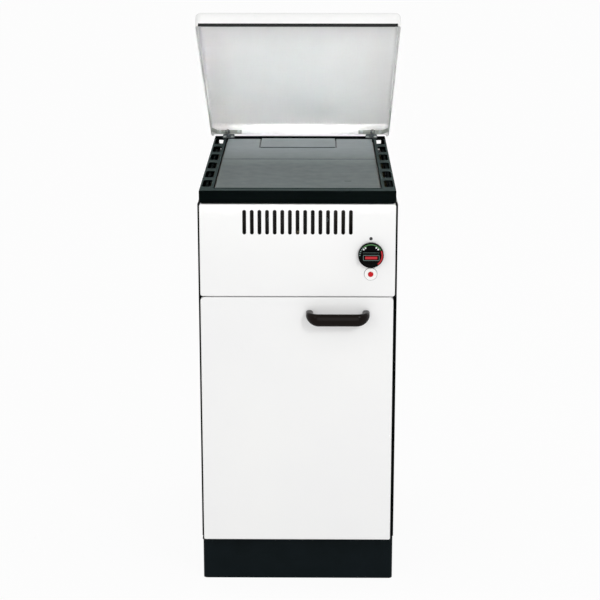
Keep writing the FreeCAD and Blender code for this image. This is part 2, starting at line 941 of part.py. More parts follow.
def rail_tongue(y_middle):
    """Tongue pressed down from the front end of one opening in the right-hand rail."""
    y0 = y_middle - rail_slot_length / 2
    top = height - tongue_sheet
    low = top - tongue_drop
    profile = Part.makePolygon([
        V(0, y0 - lip_width, top),
        V(0, y0, top),
        V(0, y0 + tongue_length, low),
        V(0, y0 + tongue_length, low - tongue_sheet),
        V(0, y0, top - tongue_sheet),
        V(0, y0 - lip_width, top - tongue_sheet),
        V(0, y0 - lip_width, top),
    ])
    profile.translate(RIGHT * (rail_slot_x - tongue_width / 2))
    return Part.Face(profile).extrude(RIGHT * tongue_width)


def hob_frame():
    """Black enamelled hob: rolled skirts, the plates' opening and slotted side rails."""
    outer = block(-face_half, face_half, front, back, hob_base, height)
    outer = fillet(outer, hob_roll, lambda edge: runs_along(edge, REAR) and lies_at(edge, UP, hob_base))
    outer = fillet(outer, hob_edge_radius, lambda edge: lies_at(edge, UP, height))
    x = face_half - hob_roll_wall
    y0 = front + hob_roll_wall
    y1 = back - hob_roll_wall
    core = block(-x, x, y0, y1, hob_base + hob_roll_wall, height - hob_sheet)
    core = fillet(
        core, hob_roll - hob_roll_wall,
        lambda edge: runs_along(edge, REAR) and lies_at(edge, UP, hob_base + hob_roll_wall),
    )
    x = face_half - hob_roll_width
    mouth = block(
        -x, x, front + hob_roll_width, body_back - sheet - hob_shelf_lap,
        hob_base - overrun, hob_base + hob_roll_wall + overrun,
    )
    frame = without(outer, [core, mouth])
    y0 = front + opening_front
    y1 = front + opening_rear
    lip = lip_width + opening_half
    raised = rounded_block(
        -lip, lip, y0 - lip_width, y1 + lip_width, height - hob_sheet, height + lip_rise,
        UP, opening_radius + lip_width,
    )
    opening = rounded_block(
        -opening_half, opening_half, y0, y1, height - hob_sheet - overrun, height + overrun,
        UP, opening_radius,
    )
    frame = frame.fuse(raised)
    cuts = [opening]
    tongues = []
    for middle in rail_slot_centres():
        slot = rounded_block(
            rail_slot_x - rail_slot_width / 2, rail_slot_x + rail_slot_width / 2,
            middle - rail_slot_length / 2, middle + rail_slot_length / 2,
            height - hob_sheet - overrun, height + overrun, UP, rail_slot_radius,
        )
        cuts += both_sides(slot)
        tongues += both_sides(rail_tongue(middle))
    z0 = hob_base + hob_roll_width
    for x in (hob_vent_inner_x, hob_vent_outer_x):
        vent = rounded_block(
            x - hob_vent_width / 2, x + hob_vent_width / 2, back - hob_roll_wall - overrun,
            back + overrun, z0, z0 + hob_vent_height, REAR, hob_edge_radius,
        )
        cuts += both_sides(vent)
    frame = without(frame, cuts)
    return joined([frame] + tongues)


def plate_carrier():
    """Frame under the hob's opening: a flange, a wall and the ledge that holds the plates."""
    under = height - hob_sheet
    y0 = front + opening_front
    y1 = front + opening_rear
    grow = carrier_sheet + carrier_flange
    x = opening_half + grow
    rim = rounded_block(
        -x, x, y0 - grow, y1 + grow, under - carrier_sheet, under, UP, opening_radius + grow
    )
    x = opening_half + carrier_sheet
    wall = rounded_block(
        -x, x, y0 - carrier_sheet, y1 + carrier_sheet, ledge_under, under,
        UP, opening_radius + carrier_sheet,
    )
    well = rounded_block(-opening_half, opening_half, y0, y1, ledge_top, under + overrun, UP, opening_radius)
    x = opening_half - ledge_width
    split = front + plate_split
    front_hole = block(
        -x, x, y0 + ledge_width, split - carrier_bar / 2, ledge_under - overrun, under + overrun
    )
    rear_hole = block(
        -x, x, split + carrier_bar / 2, y1 - ledge_width, ledge_under - overrun, under + overrun
    )
    return without(joined([rim, wall]), [well, front_hole, rear_hole])


def plate_gasket():
    """Heat-proof rope gasket between the ledge and the plates."""
    x = opening_half - loose_fit
    y0 = front + opening_front + loose_fit
    y1 = front + opening_rear - loose_fit
    whole = rounded_block(-x, x, y0, y1, ledge_top, plate_under, UP, opening_radius)
    x -= gasket_width
    split = front + plate_split
    holes = [
        block(-x, x, y0 + gasket_width, split - gasket_width, ledge_top - overrun, plate_under + overrun),
        block(-x, x, split + gasket_width, y1 - gasket_width, ledge_top - overrun, plate_under + overrun),
    ]
    return without(whole, holes)


def plate_blank(y0, y1):
    """A flat iron plate with rounded corners and a broken top edge."""
    plate = rounded_block(-plate_half, plate_half, y0, y1, plate_under, plate_top, UP, plate_radius)
    return fillet(plate, lip_rise, lambda edge: lies_at(edge, UP, plate_top))


def cooking_plate_front():
    """Front cooking plate with a slot for the lifter."""
    plate = plate_blank(plate_front, front + plate_split - plate_seam / 2)
    slot = rounded_block(
        lifter_x - lifter_length / 2, lifter_x + lifter_length / 2,
        front + lifter_y - lifter_width / 2, front + lifter_y + lifter_width / 2,
        plate_top - lifter_depth, plate_top + overrun, UP, lifter_width * 0.45,
    )
    return plate.cut(slot)


def cooking_plate_rear():
    """Rear cooking plate with the cleaning hole and the rebate its cover lies in."""
    plate = plate_blank(front + plate_split + plate_seam / 2, plate_rear)
    rebate = block(
        cover_left - cover_gap, cover_right + cover_gap, front + cover_front - cover_gap,
        plate_rear + overrun, plate_top - cover_thickness, plate_top + overrun,
    )
    hole = block(
        cover_left + cover_bearing, cover_right - cover_bearing, front + cover_front + cover_bearing,
        plate_rear - cover_bearing, plate_under - overrun, plate_top,
    )
    return without(plate, [rebate, hole])


def cleaning_cover():
    """Flat cover over the cleaning hole at the back."""
    cover = rounded_block(
        cover_left, cover_right, front + cover_front, plate_rear,
        plate_top - cover_thickness, plate_top + cover_rise, UP, plate_radius,
    )
    return fillet(cover, lip_rise, lambda edge: lies_at(edge, UP, plate_top + cover_rise))


def cover_stud_places():
    """Four studs that hold the inspection cover, on the chamber's front wall."""
    x = cover_half - cover_stud_margin
    z0 = cover_base + cover_stud_margin
    z1 = cover_base + cover_height - cover_stud_margin
    return [V(side * x, front + chamber_front, z) for side in SIDES for z in (z0, z1)]


def combustion_chamber():
    """Sheet-steel fire box, hung from the plates' carrier by its rim."""
    y0 = front + chamber_front
    y1 = front + chamber_rear
    outer = block(-chamber_half, chamber_half, y0, y1, chamber_base, ledge_under)
    x = chamber_half - chamber_wall
    core = block(
        -x, x, y0 + chamber_wall, y1 - chamber_wall, chamber_base + chamber_wall, ledge_under + overrun
    )
    x = opening_half - chamber_rim_lap
    rim = block(
        -x, x, front + opening_front + chamber_rim_lap, front + opening_rear - chamber_rim_lap,
        ledge_under - chamber_wall, ledge_under,
    )
    pot_hole = rod(V(0, front + burner_y, chamber_base - overrun), UP, overrun + overrun, pot_radius + loose_fit)
    flue_hole = rod(V(0, y1 - overrun, flue_z), REAR, overrun + overrun, flue_radius - flue_wall)
    window_x = cover_half - cover_window_margin
    window = block(
        -window_x, window_x, y0 - overrun, y0 + overrun,
        cover_base + cover_window_margin, cover_base + cover_height - cover_window_margin,
    )
    box = without(joined([outer, rim]), [core, pot_hole, flue_hole, window])
    studs = [rod(place, -REAR, stud_length, stud_radius) for place in cover_stud_places()]
    return joined([box] + studs)


def chamber_lining():
    """Fire-proof boards on the chamber's floor and walls."""
    x = chamber_half - chamber_wall
    y0 = front + chamber_front + chamber_wall
    y1 = front + chamber_rear - chamber_wall
    z0 = chamber_base + chamber_wall
    z1 = z0 + lining_thickness
    floor_board = block(-x, x, y0, y1, z0, z1)
    side_boards = both_sides(block(x - lining_thickness, x, y0, y1, z1, lining_top))
    x -= lining_thickness
    front_board = block(-x, x, y0, y0 + lining_thickness, z1, lining_top)
    rear_board = block(-x, x, y1 - lining_thickness, y1, z1, lining_top)
    pot_hole = rod(
        V(0, front + burner_y, z0 - overrun), UP, lining_thickness + overrun + overrun, pot_rim + flue_room
    )
    flue_hole = rod(
        V(0, y1 - lining_thickness - overrun, flue_z), REAR,
        lining_thickness + overrun + overrun, flue_radius - flue_wall,
    )
    window_x = cover_half - cover_window_margin
    window = block(
        -window_x, window_x, y0 - overrun, y0 + lining_thickness + overrun,
        cover_base + cover_window_margin, cover_base + cover_height - cover_window_margin,
    )
    return [floor_board.cut(pot_hole), front_board.cut(window), rear_board.cut(flue_hole)] + side_boards


def burner_axis(z):
    """A point on the burner's upright middle line."""
    return V(0, front + burner_y, z)


pot_top = chamber_base + chamber_wall
pot_base = pot_top - pot_height
jacket_base = pot_base - jacket_below
igniter_z = pot_base + igniter_above


def burner_pot():
    """Vaporising burner: an open pot with rows of air holes, hung by its rim."""
    wall = rod(burner_axis(pot_base), UP, pot_height, pot_radius)
    rim = rod(burner_axis(pot_top), UP, pot_wall, pot_rim)
    core = rod(burner_axis(pot_base + pot_floor), UP, pot_height + overrun, pot_radius - pot_wall)
    cuts = [core]
    for row in range(pot_hole_rows):
        z = pot_base + pot_hole_first + row * pot_hole_pitch
        for column in range(pot_hole_columns):
            angle = math.pi * (column + row / 2 + 1 / 4) / pot_hole_columns
            axis = V(math.cos(angle), math.sin(angle), 0)
            start = burner_axis(z) - axis * (pot_radius + overrun)
            cuts.append(rod(start, axis, 2 * (pot_radius + overrun), pot_hole_radius))
    start = V(0, front + burner_y - pot_radius - overrun, igniter_z)
    cuts.append(rod(start, REAR, pot_wall + overrun + overrun, igniter_radius + loose_fit))
    return without(joined([wall, rim]), cuts)


def burner_ring():
    """Flame ring that sits in the pot below its rim."""
    z = pot_top - ring_below
    radius = pot_radius - pot_wall - loose_fit
    plate = tube(burner_axis(z), UP, ring_thickness, radius, ring_inner)
    collar = tube(burner_axis(z), UP, ring_collar, ring_inner + ring_thickness, ring_inner)
    hangers = []
    for step in range(3):
        hook = block(
            -ring_thickness, ring_thickness, radius - ring_thickness, radius, z, pot_top + pot_wall
        )
        over = block(
            -ring_thickness, ring_thickness, radius - ring_thickness, pot_radius + ring_thickness,
            pot_top + pot_wall, pot_top + pot_wall + ring_thickness,
        )
        hanger = hook.fuse(over)
        hanger.translate(burner_axis(0))
        hanger.rotate(burner_axis(0), UP, step * FULL_TURN / 3)
        hangers.append(hanger)
    return joined([plate, collar] + hangers)


def burner_jacket():
    """Air jacket round the pot, with the air inlet, the pipe's port and the igniter's stub."""
    tall = chamber_base - jacket_base
    wall = rod(burner_axis(jacket_base), UP, tall, jacket_radius)
    rim = rod(burner_axis(chamber_base - jacket_wall), UP, jacket_wall, jacket_rim)
    stub_start = V(0, front + burner_y - jacket_radius - igniter_stub_length, igniter_z)
    stub = rod(stub_start, REAR, igniter_stub_length + overrun, igniter_stub_radius)
    core = rod(burner_axis(jacket_base + jacket_wall), UP, tall + overrun, jacket_radius - jacket_wall)
    port = rod(burner_axis(jacket_base - overrun), UP, jacket_wall + overrun + overrun, jacket_port)
    air = V(0, front + burner_y, jacket_base + air_port_above)
    stub_bore = rod(
        stub_start - REAR * overrun, REAR, igniter_stub_length + overrun + overrun + overrun,
        igniter_stub_radius - igniter_stub_wall,
    )
    cuts = [core, port, rod(air, REAR, jacket_radius + overrun, air_port_radius), stub_bore]
    return without(joined([wall, rim, stub]), cuts)


def igniter():
    """Electric igniter rod, held by a flange on the jacket's stub."""
    y_flange = front + burner_y - jacket_radius - igniter_stub_length
    flange_plate = rod(V(0, y_flange - igniter_flange, igniter_z), REAR, igniter_flange, igniter_stub_radius)
    y_tip = front + burner_y - pot_radius + igniter_reach
    stick = rod(V(0, y_flange, igniter_z), REAR, y_tip - y_flange, igniter_radius)
    stick = fillet(stick, igniter_radius / 2, lambda edge: lies_at(edge, REAR, y_tip))
    tail = rod(V(0, y_flange - igniter_flange, igniter_z), -REAR, igniter_tail, igniter_radius)
    return joined([flange_plate, stick, tail])


def inspection_cover():
    """Cover on the chamber's front wall, with a seat for the sight glass."""
    y1 = front + chamber_front
    y0 = y1 - cover_sheet
    z1 = cover_base + cover_height
    plate = rounded_block(-cover_half, cover_half, y0, y1, cover_base, z1, REAR, cover_stud_margin)
    middle = V(0, y0 - overrun, cover_base + cover_height / 2)
    seat = rod(middle, REAR, glass_thickness + overrun, glass_radius + loose_fit)
    hole = rod(middle, REAR, cover_sheet + overrun + overrun, glass_radius - glass_seat)
    cuts = [seat, hole]
    for place in cover_stud_places():
        cuts.append(rod(place + REAR * overrun, -REAR, cover_sheet + overrun + overrun, stud_radius + loose_fit))
    return without(plate, cuts)


def sight_glass():
    """Round glass through which the flame is seen."""
    start = V(0, front + chamber_front - cover_sheet, cover_base + cover_height / 2)
    return rod(start, REAR, glass_thickness, glass_radius)


def cover_nuts():
    """Hexagon nuts on the inspection cover's studs."""
    nuts = []
    corner = nut_flat / math.cos(math.pi / 6)
    for place in cover_stud_places():
        seat = place - REAR * cover_sheet
        points = []
        for step in range(7):
            angle = math.pi * step / 3
            points.append(seat + V(math.cos(angle), 0, math.sin(angle)) * corner)
        nut = Part.Face(Part.makePolygon(points)).extrude(-REAR * nut_depth)
        nuts.append(nut.cut(rod(seat + REAR * overrun, -REAR, nut_depth + overrun + overrun, stud_radius)))
    return nuts


def flue_spigot():
    """Flue outlet: a flanged tube from the chamber out through the rear panel."""
    y0 = front + chamber_rear
    rim = tube(V(0, y0, flue_z), REAR, chamber_wall, flue_rim, flue_radius - flue_wall)
    wall = tube(V(0, y0, flue_z), REAR, back + spigot_reach - y0, flue_radius, flue_radius - flue_wall)
    return joined([rim, wall])


def insulation_mats():
    """Mineral-wool mats on the side panels beside the chamber."""
    return both_sides(block(
        inner_half - mat_thickness, inner_half, front + mat_front, front + mat_rear, mat_base, mat_top
    ))


def heat_shield():
    """Tray between the burner and the fuel space, pierced for the oil pipe."""
    y0 = front + shield_front
    y1 = body_back - sheet - sheet
    tray = block(-inner_half, inner_half, y0, y1, shield_z, shield_z + sheet)
    lips = both_sides(block(inner_half - sheet, inner_half, y0, y1, shield_z - shield_lip, shield_z + sheet))
    port = rod(V(pump_x, front + pump_y, shield_z - overrun), UP, sheet + overrun + overrun, pipe_port)
    return joined([tray] + lips).cut(port)


regulator_x = (regulator_left + regulator_right) / 2
regulator_y = front + (regulator_front + regulator_rear) / 2
regulator_top = regulator_base + regulator_height
inlet_z = regulator_base + regulator_height / 2
feed_x = regulator_left + regulator_stub_radius + regulator_round
tank_base = floor_top + cradle_height
tank_top = tank_base + tank_height
neck_top = tank_top + neck_height


def oil_regulator():
    """Float regulator: a cast body with a lid, pipe stubs and the shut-off spindle."""
    y0 = front + regulator_front
    y1 = front + regulator_rear
    body = rounded_block(
        regulator_left, regulator_right, y0, y1, regulator_base, regulator_top, UP, regulator_round
    )
    over = regulator_lid_over
    lid = rounded_block(
        regulator_left - over, regulator_right + over, y0 - over, y1 + over,
        regulator_top, regulator_top + regulator_lid, UP, regulator_round,
    )
    inlet = rod(V(regulator_left, regulator_y, inlet_z), -RIGHT, regulator_stub_length, regulator_stub_radius)
    outlet = rod(V(feed_x, regulator_y, regulator_base), -UP, regulator_stub_length, regulator_stub_radius)
    spindle = rod(V(lever_x, y0, inlet_z), -REAR, spindle_length, spindle_radius)
    return joined([body, lid, inlet, outlet, spindle])


def shutoff_lever():
    """Lever on the regulator's spindle that closes the oil off."""
    y1 = front + regulator_front - lever_gap
    hub = rod(V(lever_x, y1 - lever_thickness, inlet_z), REAR, lever_thickness, lever_hub)
    arm = rounded_block(
        lever_x - lever_width / 2, lever_x + lever_width / 2, y1 - lever_thickness, y1,
        inlet_z - lever_width / 2, inlet_z + lever_arm, REAR, lever_width / 3,
    )
    start = V(lever_x, y1 - lever_thickness - overrun, inlet_z)
    bore = rod(start, REAR, lever_thickness + overrun + overrun, spindle_radius + running_fit)
    return joined([hub, arm]).cut(bore)


def regulator_bracket():
    """Shelf on the right-hand side panel that carries the regulator."""
    y0 = front + regulator_front
    y1 = front + regulator_rear
    z1 = regulator_base
    shelf = block(regulator_left, inner_half, y0, y1, z1 - bracket_sheet, z1)
    leg = block(inner_half - bracket_sheet, inner_half, y0, y1, z1 - bracket_height, z1)
    hole = rod(V(feed_x, regulator_y, z1 + overrun), -UP, overrun * 3, regulator_stub_radius + loose_fit)
    return joined([shelf, leg]).cut(hole)


def feed_pipe():
    """Copper pipe from the regulator's outlet, under the jacket, up into the pot's floor."""
    start_z = regulator_base - regulator_stub_length
    points = [
        V(feed_x, regulator_y, start_z),
        V(feed_x, regulator_y, feed_run_z),
        V(0, front + burner_y, feed_run_z),
        V(0, front + burner_y, pot_base),
    ]
    return pipe(points, pipe_radius, pipe_bend)


def pressure_pipe():
    """Copper pipe from the lift pump, through the shield, to the regulator's inlet."""
    pump_top = tank_top + pump_base_height + pump_height + pump_cap_height
    end_x = regulator_left - regulator_stub_length
    points = [
        V(pump_x, front + pump_y, pump_top),
        V(pump_x, front + pump_y, inlet_z - pipe_bend * 2),
        V(pump_x, regulator_y, inlet_z),
        V(end_x, regulator_y, inlet_z),
    ]
    return pipe(points, pipe_radius, pipe_bend)


def lift_pump():
    """Electric lift pump that stands on the tank's top."""
    x, y = pump_x, front + pump_y
    foot = rounded_block(
        x - pump_base, x + pump_base, y - pump_base, y + pump_base,
        tank_top, tank_top + pump_base_height, UP, regulator_round,
    )
    z = tank_top + pump_base_height
    motor = rod(V(x, y, z), UP, pump_height, pump_radius)
    motor = fillet(motor, edge_bend, lambda edge: lies_at(edge, UP, z + pump_height))
    cap = rod(V(x, y, z + pump_height), UP, pump_cap_height, pump_cap_radius)
    return joined([foot, motor, cap])


def suction_pipe():
    """Pipe from the pump's foot down to just above the tank's floor."""
    low = tank_base + tank_wall + suction_gap
    return rod(V(pump_x, front + pump_y, low), UP, tank_top - low, suction_radius)


def fuel_tank():
    """Sheet-steel tank with a filler neck and the suction pipe's hole."""
    y0 = front + tank_front
    y1 = front + tank_rear
    outer = rounded_block(-tank_half, tank_half, y0, y1, tank_base, tank_top, UP, tank_radius)
    neck = rod(V(neck_x, front + neck_y, tank_top), UP, neck_height, neck_radius)
    x = tank_half - tank_wall
    core = rounded_block(
        -x, x, y0 + tank_wall, y1 - tank_wall, tank_base + tank_wall, tank_top - tank_wall,
        UP, tank_radius - tank_wall,
    )
    start = V(neck_x, front + neck_y, tank_top - tank_wall - overrun)
    bore = rod(start, UP, neck_height + tank_wall + overrun + overrun, neck_radius - neck_wall)
    start = V(pump_x, front + pump_y, tank_top - tank_wall - overrun)
    hole = rod(start, UP, tank_wall + overrun + overrun, suction_radius + suction_room)
    return without(joined([outer, neck]), [core, bore, hole])


def tank_cap():
    """Filler cap with a grip bar, turned a quarter to open."""
    top = neck_top + loose_fit
    centre = V(neck_x, front + neck_y, 0)
    inner = neck_radius + loose_fit
    outer = inner + cap_wall
    skirt = tube(centre + UP * (top - cap_skirt), UP, cap_skirt, outer, inner)
    plate = rod(centre + UP * top, UP, cap_wall, outer)
    y = front + neck_y
    grip = rounded_block(
        neck_x - outer + cap_wall, neck_x + outer - cap_wall, y - cap_grip_width / 2, y + cap_grip_width / 2,
        top, top + cap_grip_height, UP, cap_grip_width / 3,
    )
    return joined([skirt, plate, grip])


def tank_cradle():
    """Two rails on the floor that the tank slides out on, with a stop at the back."""
    y0 = front + tank_front
    y1 = front + tank_rear
    rails = []
    for side in SIDES:
        x0 = side * cradle_x - cradle_width / 2
        rail = block(x0, x0 + cradle_width, y0, y1 + sheet, floor_top, tank_base)
        stop = block(x0, x0 + cradle_width, y1, y1 + sheet, floor_top, tank_base + cradle_stop)
        rails.append(joined([rail, stop]))
    return rails


def power_gland():
    """Gland in the rear panel for the supply cord."""
    start = V(gland_x, body_back, gland_z)
    nut = rod(start, REAR, gland_depth, gland_nut)
    nut = fillet(nut, edge_bend, lambda edge: lies_at(edge, REAR, body_back + gland_depth))
    thread = rod(start, -REAR, sheet + gland_inner, gland_thread)
    lock = rod(start - REAR * sheet, -REAR, gland_inner / 2, gland_nut)
    bore = rod(start + REAR * (gland_depth + overrun), -REAR, gland_depth + gland_inner + overrun * 3, gland_bore)
    return joined([nut, thread, lock]).cut(bore)


axis_y = back - lid_axis_inset
axis_z = height + lid_axis_rise
lid_pivot = V(0, axis_y, axis_z)
lid_base = height + lid_lift
lid_top = lid_base + lid_depth
lid_front = axis_y - lid_length
lid_rear = axis_y + lid_tail
skirt_inner_y = lid_rear - lid_sheet
strap_low = axis_z - strap_below


def opened(shape):
    """A lid piece, drawn closed, swung up to the angle at which the lid stands."""
    shape.rotate(lid_pivot, -RIGHT, lid_open_angle)
    return shape


def lid_shell():
    """White lid: a pressed pan whose rear skirt is shorter, to clear the hob."""
    outer = rounded_block(-lid_half, lid_half, lid_front, lid_rear, lid_base, lid_top, UP, lid_radius)
    outer = fillet(outer, lid_bend, lambda edge: lies_at(edge, UP, lid_top))
    x = lid_half - lid_sheet
    core = rounded_block(
        -x, x, lid_front + lid_sheet, lid_rear - lid_sheet, lid_base - overrun, lid_top - lid_sheet,
        UP, lid_radius - lid_sheet,
    )
    core = fillet(core, lid_bend - lid_sheet, lambda edge: lies_at(edge, UP, lid_top - lid_sheet))
    x = face_half + seam
    relief = block(
        -x, x, lid_rear - lid_sheet - overrun, lid_rear + overrun,
        lid_base - overrun, lid_base + lid_rear_relief,
    )
    return outer.cut(core).cut(relief)


def lid_front_trim():
    """Rubber edge strip on the front skirt; the closed lid rests on it."""
    z0 = height + trim_gap
    x = lid_half - trim_end
    lip = block(-x, x, lid_front - trim_wall, lid_front + lid_sheet, z0, z0 + trim_height)
    x = lid_half - trim_inset
    strip = joined([lip, block(
        -x, x, lid_front, lid_front + lid_sheet + trim_wall, z0, z0 + trim_height
    )])
    strip = fillet(strip, trim_wall * 0.9, lambda edge: runs_along(edge, RIGHT) and lies_at(edge, UP, z0))
    skirt = block(-half - half, half + half, lid_front, lid_front + lid_sheet, lid_base, lid_top)
    return strip.cut(skirt)


def strap_screw_seats():
    """Seats of the right-hand strap's screws, each with the way that its screw points."""
    z = strap_low + strap_height / 2
    y = skirt_inner_y - strap_sheet
    x = lid_half - lid_sheet - strap_sheet
    return [
        (V(strap_screw_x, y, z), REAR),
        (V(strap_screw_outer_x, y, z), REAR),
        (V(x, skirt_inner_y - strap_arm + strap_height, z), RIGHT),
    ]


def lid_straps():
    """Hinge straps in the lid's rear corners: a rear strip, a side arm and the knuckle's ear."""
    inner = lid_half - lid_sheet
    z0 = strap_low
    z1 = z0 + strap_height
    y1 = skirt_inner_y
    x1 = inner - strap_corner_gap
    strip = block(strap_inner_x, x1, y1 - strap_sheet, y1, z0, z1)
    arm = block(inner - strap_sheet, inner, y1 - strap_arm, y1 - strap_corner_gap, z0, z1)
    reach = strap_corner_gap + strap_sheet
    link = Part.Face(Part.makePolygon([
        V(x1 - strap_sheet, y1 - strap_sheet, z0),
        V(x1, y1 - strap_sheet, z0),
        V(inner - strap_sheet, y1 - reach, z0),
        V(inner - strap_sheet, y1 - reach - strap_sheet, z0),
        V(x1 - strap_sheet, y1 - strap_sheet, z0),
    ])).extrude(UP * strap_height)
    corner = block(
        inner - strap_sheet, inner, y1 - reach - strap_sheet, y1 - strap_corner_gap, z0, z1
    )
    x0 = knuckle_x + knuckle_sheet + knuckle_gap
    ear_ring = rod(V(x0, axis_y, axis_z), RIGHT, knuckle_sheet, knuckle_radius)
    ear_arm = block(x0, x0 + knuckle_sheet, axis_y, y1 - strap_sheet, z0, z1)
    hole = rod(
        V(x0 - overrun, axis_y, axis_z), RIGHT, knuckle_sheet + overrun + overrun,
        lid_pin_radius + running_fit,
    )
    cuts = [hole] + [screw_hole(seat, axis) for seat, axis in strap_screw_seats()]
    return both_sides(without(joined([strip, link, corner, arm, ear_ring, ear_arm]), cuts))


def lid_screws():
    """Screws that hold the straps to the lid's skirts."""
    screws = [screw(seat, axis, strap_sheet) for seat, axis in strap_screw_seats()]
    return [copy for one in screws for copy in both_sides(one)]


def leaf_screw_places():
    """Where the right-hand hinge leaf is screwed to the hob."""
    y = axis_y - leaf_clear - leaf_length + leaf_screw_inset + leaf_screw_inset / 2
    return [V(knuckle_x + side * leaf_screw_inset * 1.4, y, height + leaf_sheet) for side in SIDES]


def lid_hinge_leaves():
    """Hinge leaves on the hob's rear corners, each with a raised pad and an upright ear."""
    y1 = axis_y - leaf_clear
    y0 = y1 - leaf_length
    plate = rounded_block(
        knuckle_x - leaf_width / 2, knuckle_x + leaf_width / 2, y0, y1,
        height, height + leaf_sheet, UP, leaf_sheet,
    )
    ring = rod(V(knuckle_x, axis_y, axis_z), RIGHT, knuckle_sheet, knuckle_radius)
    arm = block(
        knuckle_x, knuckle_x + knuckle_sheet, y1 - knuckle_radius * 2, axis_y,
        axis_z - knuckle_radius, axis_z + knuckle_radius,
    )
    web = block(
        knuckle_x, knuckle_x + knuckle_sheet, y1 - knuckle_radius * 2, y1, height, axis_z
    )
    pad = block(
        knuckle_x - leaf_width / 2, knuckle_x + leaf_width / 2, y1 - pad_depth, y1,
        height, height + pad_height,
    )
    pad = fillet(pad, pad_bend, lambda edge: lies_at(edge, UP, height + pad_height))
    hole = rod(
        V(knuckle_x - overrun, axis_y, axis_z), RIGHT, knuckle_sheet + overrun + overrun, lid_pin_radius
    )
    leaf = joined([plate, ring, arm, web, pad])
    cuts = [hole] + [screw_hole(place, -UP) for place in leaf_screw_places()]
    return both_sides(without(leaf, cuts))


def lid_hinge_pins():
    """Headed pins through the leaf's and the strap's ears."""
    x0 = knuckle_x - lid_pin_head_depth
    head = rod(V(x0, axis_y, axis_z), RIGHT, lid_pin_head_depth, lid_pin_head)
    reach = knuckle_sheet + knuckle_gap + knuckle_sheet + knuckle_gap + knuckle_gap
    shank = rod(V(knuckle_x, axis_y, axis_z), RIGHT, reach, lid_pin_radius)
    tail = rod(V(knuckle_x + reach, axis_y, axis_z), RIGHT, lid_pin_head_depth, lid_pin_head)
    return both_sides(joined([head, shank, tail]))


def casing_screws():
    """Screws of the rear panel and of the lid's hinge leaves."""
    rear = [screw(place, -REAR) for place in rear_screw_places()]
    leaves = [screw(place, -UP, leaf_sheet + hob_sheet) for place in leaf_screw_places()]
    return rear + [copy for one in leaves for copy in both_sides(one)]


def with_leaf_holes(frame):
    """The hob with the holes of the hinge leaves' screws in its rear corners."""
    holes = []
    for place in leaf_screw_places():
        holes += both_sides(screw_hole(place, -UP))
    return without(frame, holes)


os.makedirs("parts", exist_ok=True)

right_side = side_panel()
save("plinth_frame", plinth_frame())
save("base_pan", base_pan())
save("side_panel_right", right_side)
save("side_panel_left", right_side.mirror(V(0, 0, 0), RIGHT))
save("rear_panel", rear_panel())
save("front_crossrail", front_crossrail())
save("catch_magnet", catch_magnet())
save("control_panel", control_panel())
save("index_dot", index_dot())
save("pilot_lamp_bezel", pilot_lamp_bezel())
save("pilot_lamp_lens", pilot_lamp_lens())
save("pilot_lamp_holder", pilot_lamp_holder())
save("control_head", control_head())
save("control_cable", control_cable())
save("knob", knob())
save("knob_dial", knob_dial())
save("knob_shaft", knob_shaft())
save("door_skin", door_skin())
save("door_liner", door_liner())
save("door_handle", door_handle())
save("handle_screws", handle_screws())
save("door_bushes", door_bushes())
save("door_hinge_brackets", door_hinge_brackets())
save("door_hinge_pins", door_hinge_pins())
save("hob_frame", with_leaf_holes(hob_frame()))
save("plate_carrier", plate_carrier())
save("plate_gasket", plate_gasket())
save("cooking_plate_front", cooking_plate_front())
save("cooking_plate_rear", cooking_plate_rear())
save("cleaning_cover", cleaning_cover())
save("combustion_chamber", combustion_chamber())
save("chamber_lining", chamber_lining())
save("burner_pot", burner_pot())
save("burner_ring", burner_ring())
save("burner_jacket", burner_jacket())
save("igniter", igniter())
save("inspection_cover", inspection_cover())
save("sight_glass", sight_glass())
save("cover_nuts", cover_nuts())
save("flue_spigot", flue_spigot())
save("insulation_mats", insulation_mats())
save("heat_shield", heat_shield())
save("oil_regulator", oil_regulator())
save("shutoff_lever", shutoff_lever())
save("regulator_bracket", regulator_bracket())
save("feed_pipe", feed_pipe())
save("pressure_pipe", pressure_pipe())
save("lift_pump", lift_pump())
save("suction_pipe", suction_pipe())
save("fuel_tank", fuel_tank())
save("tank_cap", tank_cap())
save("tank_cradle", tank_cradle())
save("power_gland", power_gland())
save("lid_shell", opened(lid_shell()))
save("lid_front_trim", opened(lid_front_trim()))
save("lid_straps", [opened(strap) for strap in lid_straps()])
save("lid_screws", [opened(one) for one in lid_screws()])
save("lid_hinge_leaves", lid_hinge_leaves())
save("lid_hinge_pins", lid_hinge_pins())
save("casing_screws", casing_screws())
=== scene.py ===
import json
import math

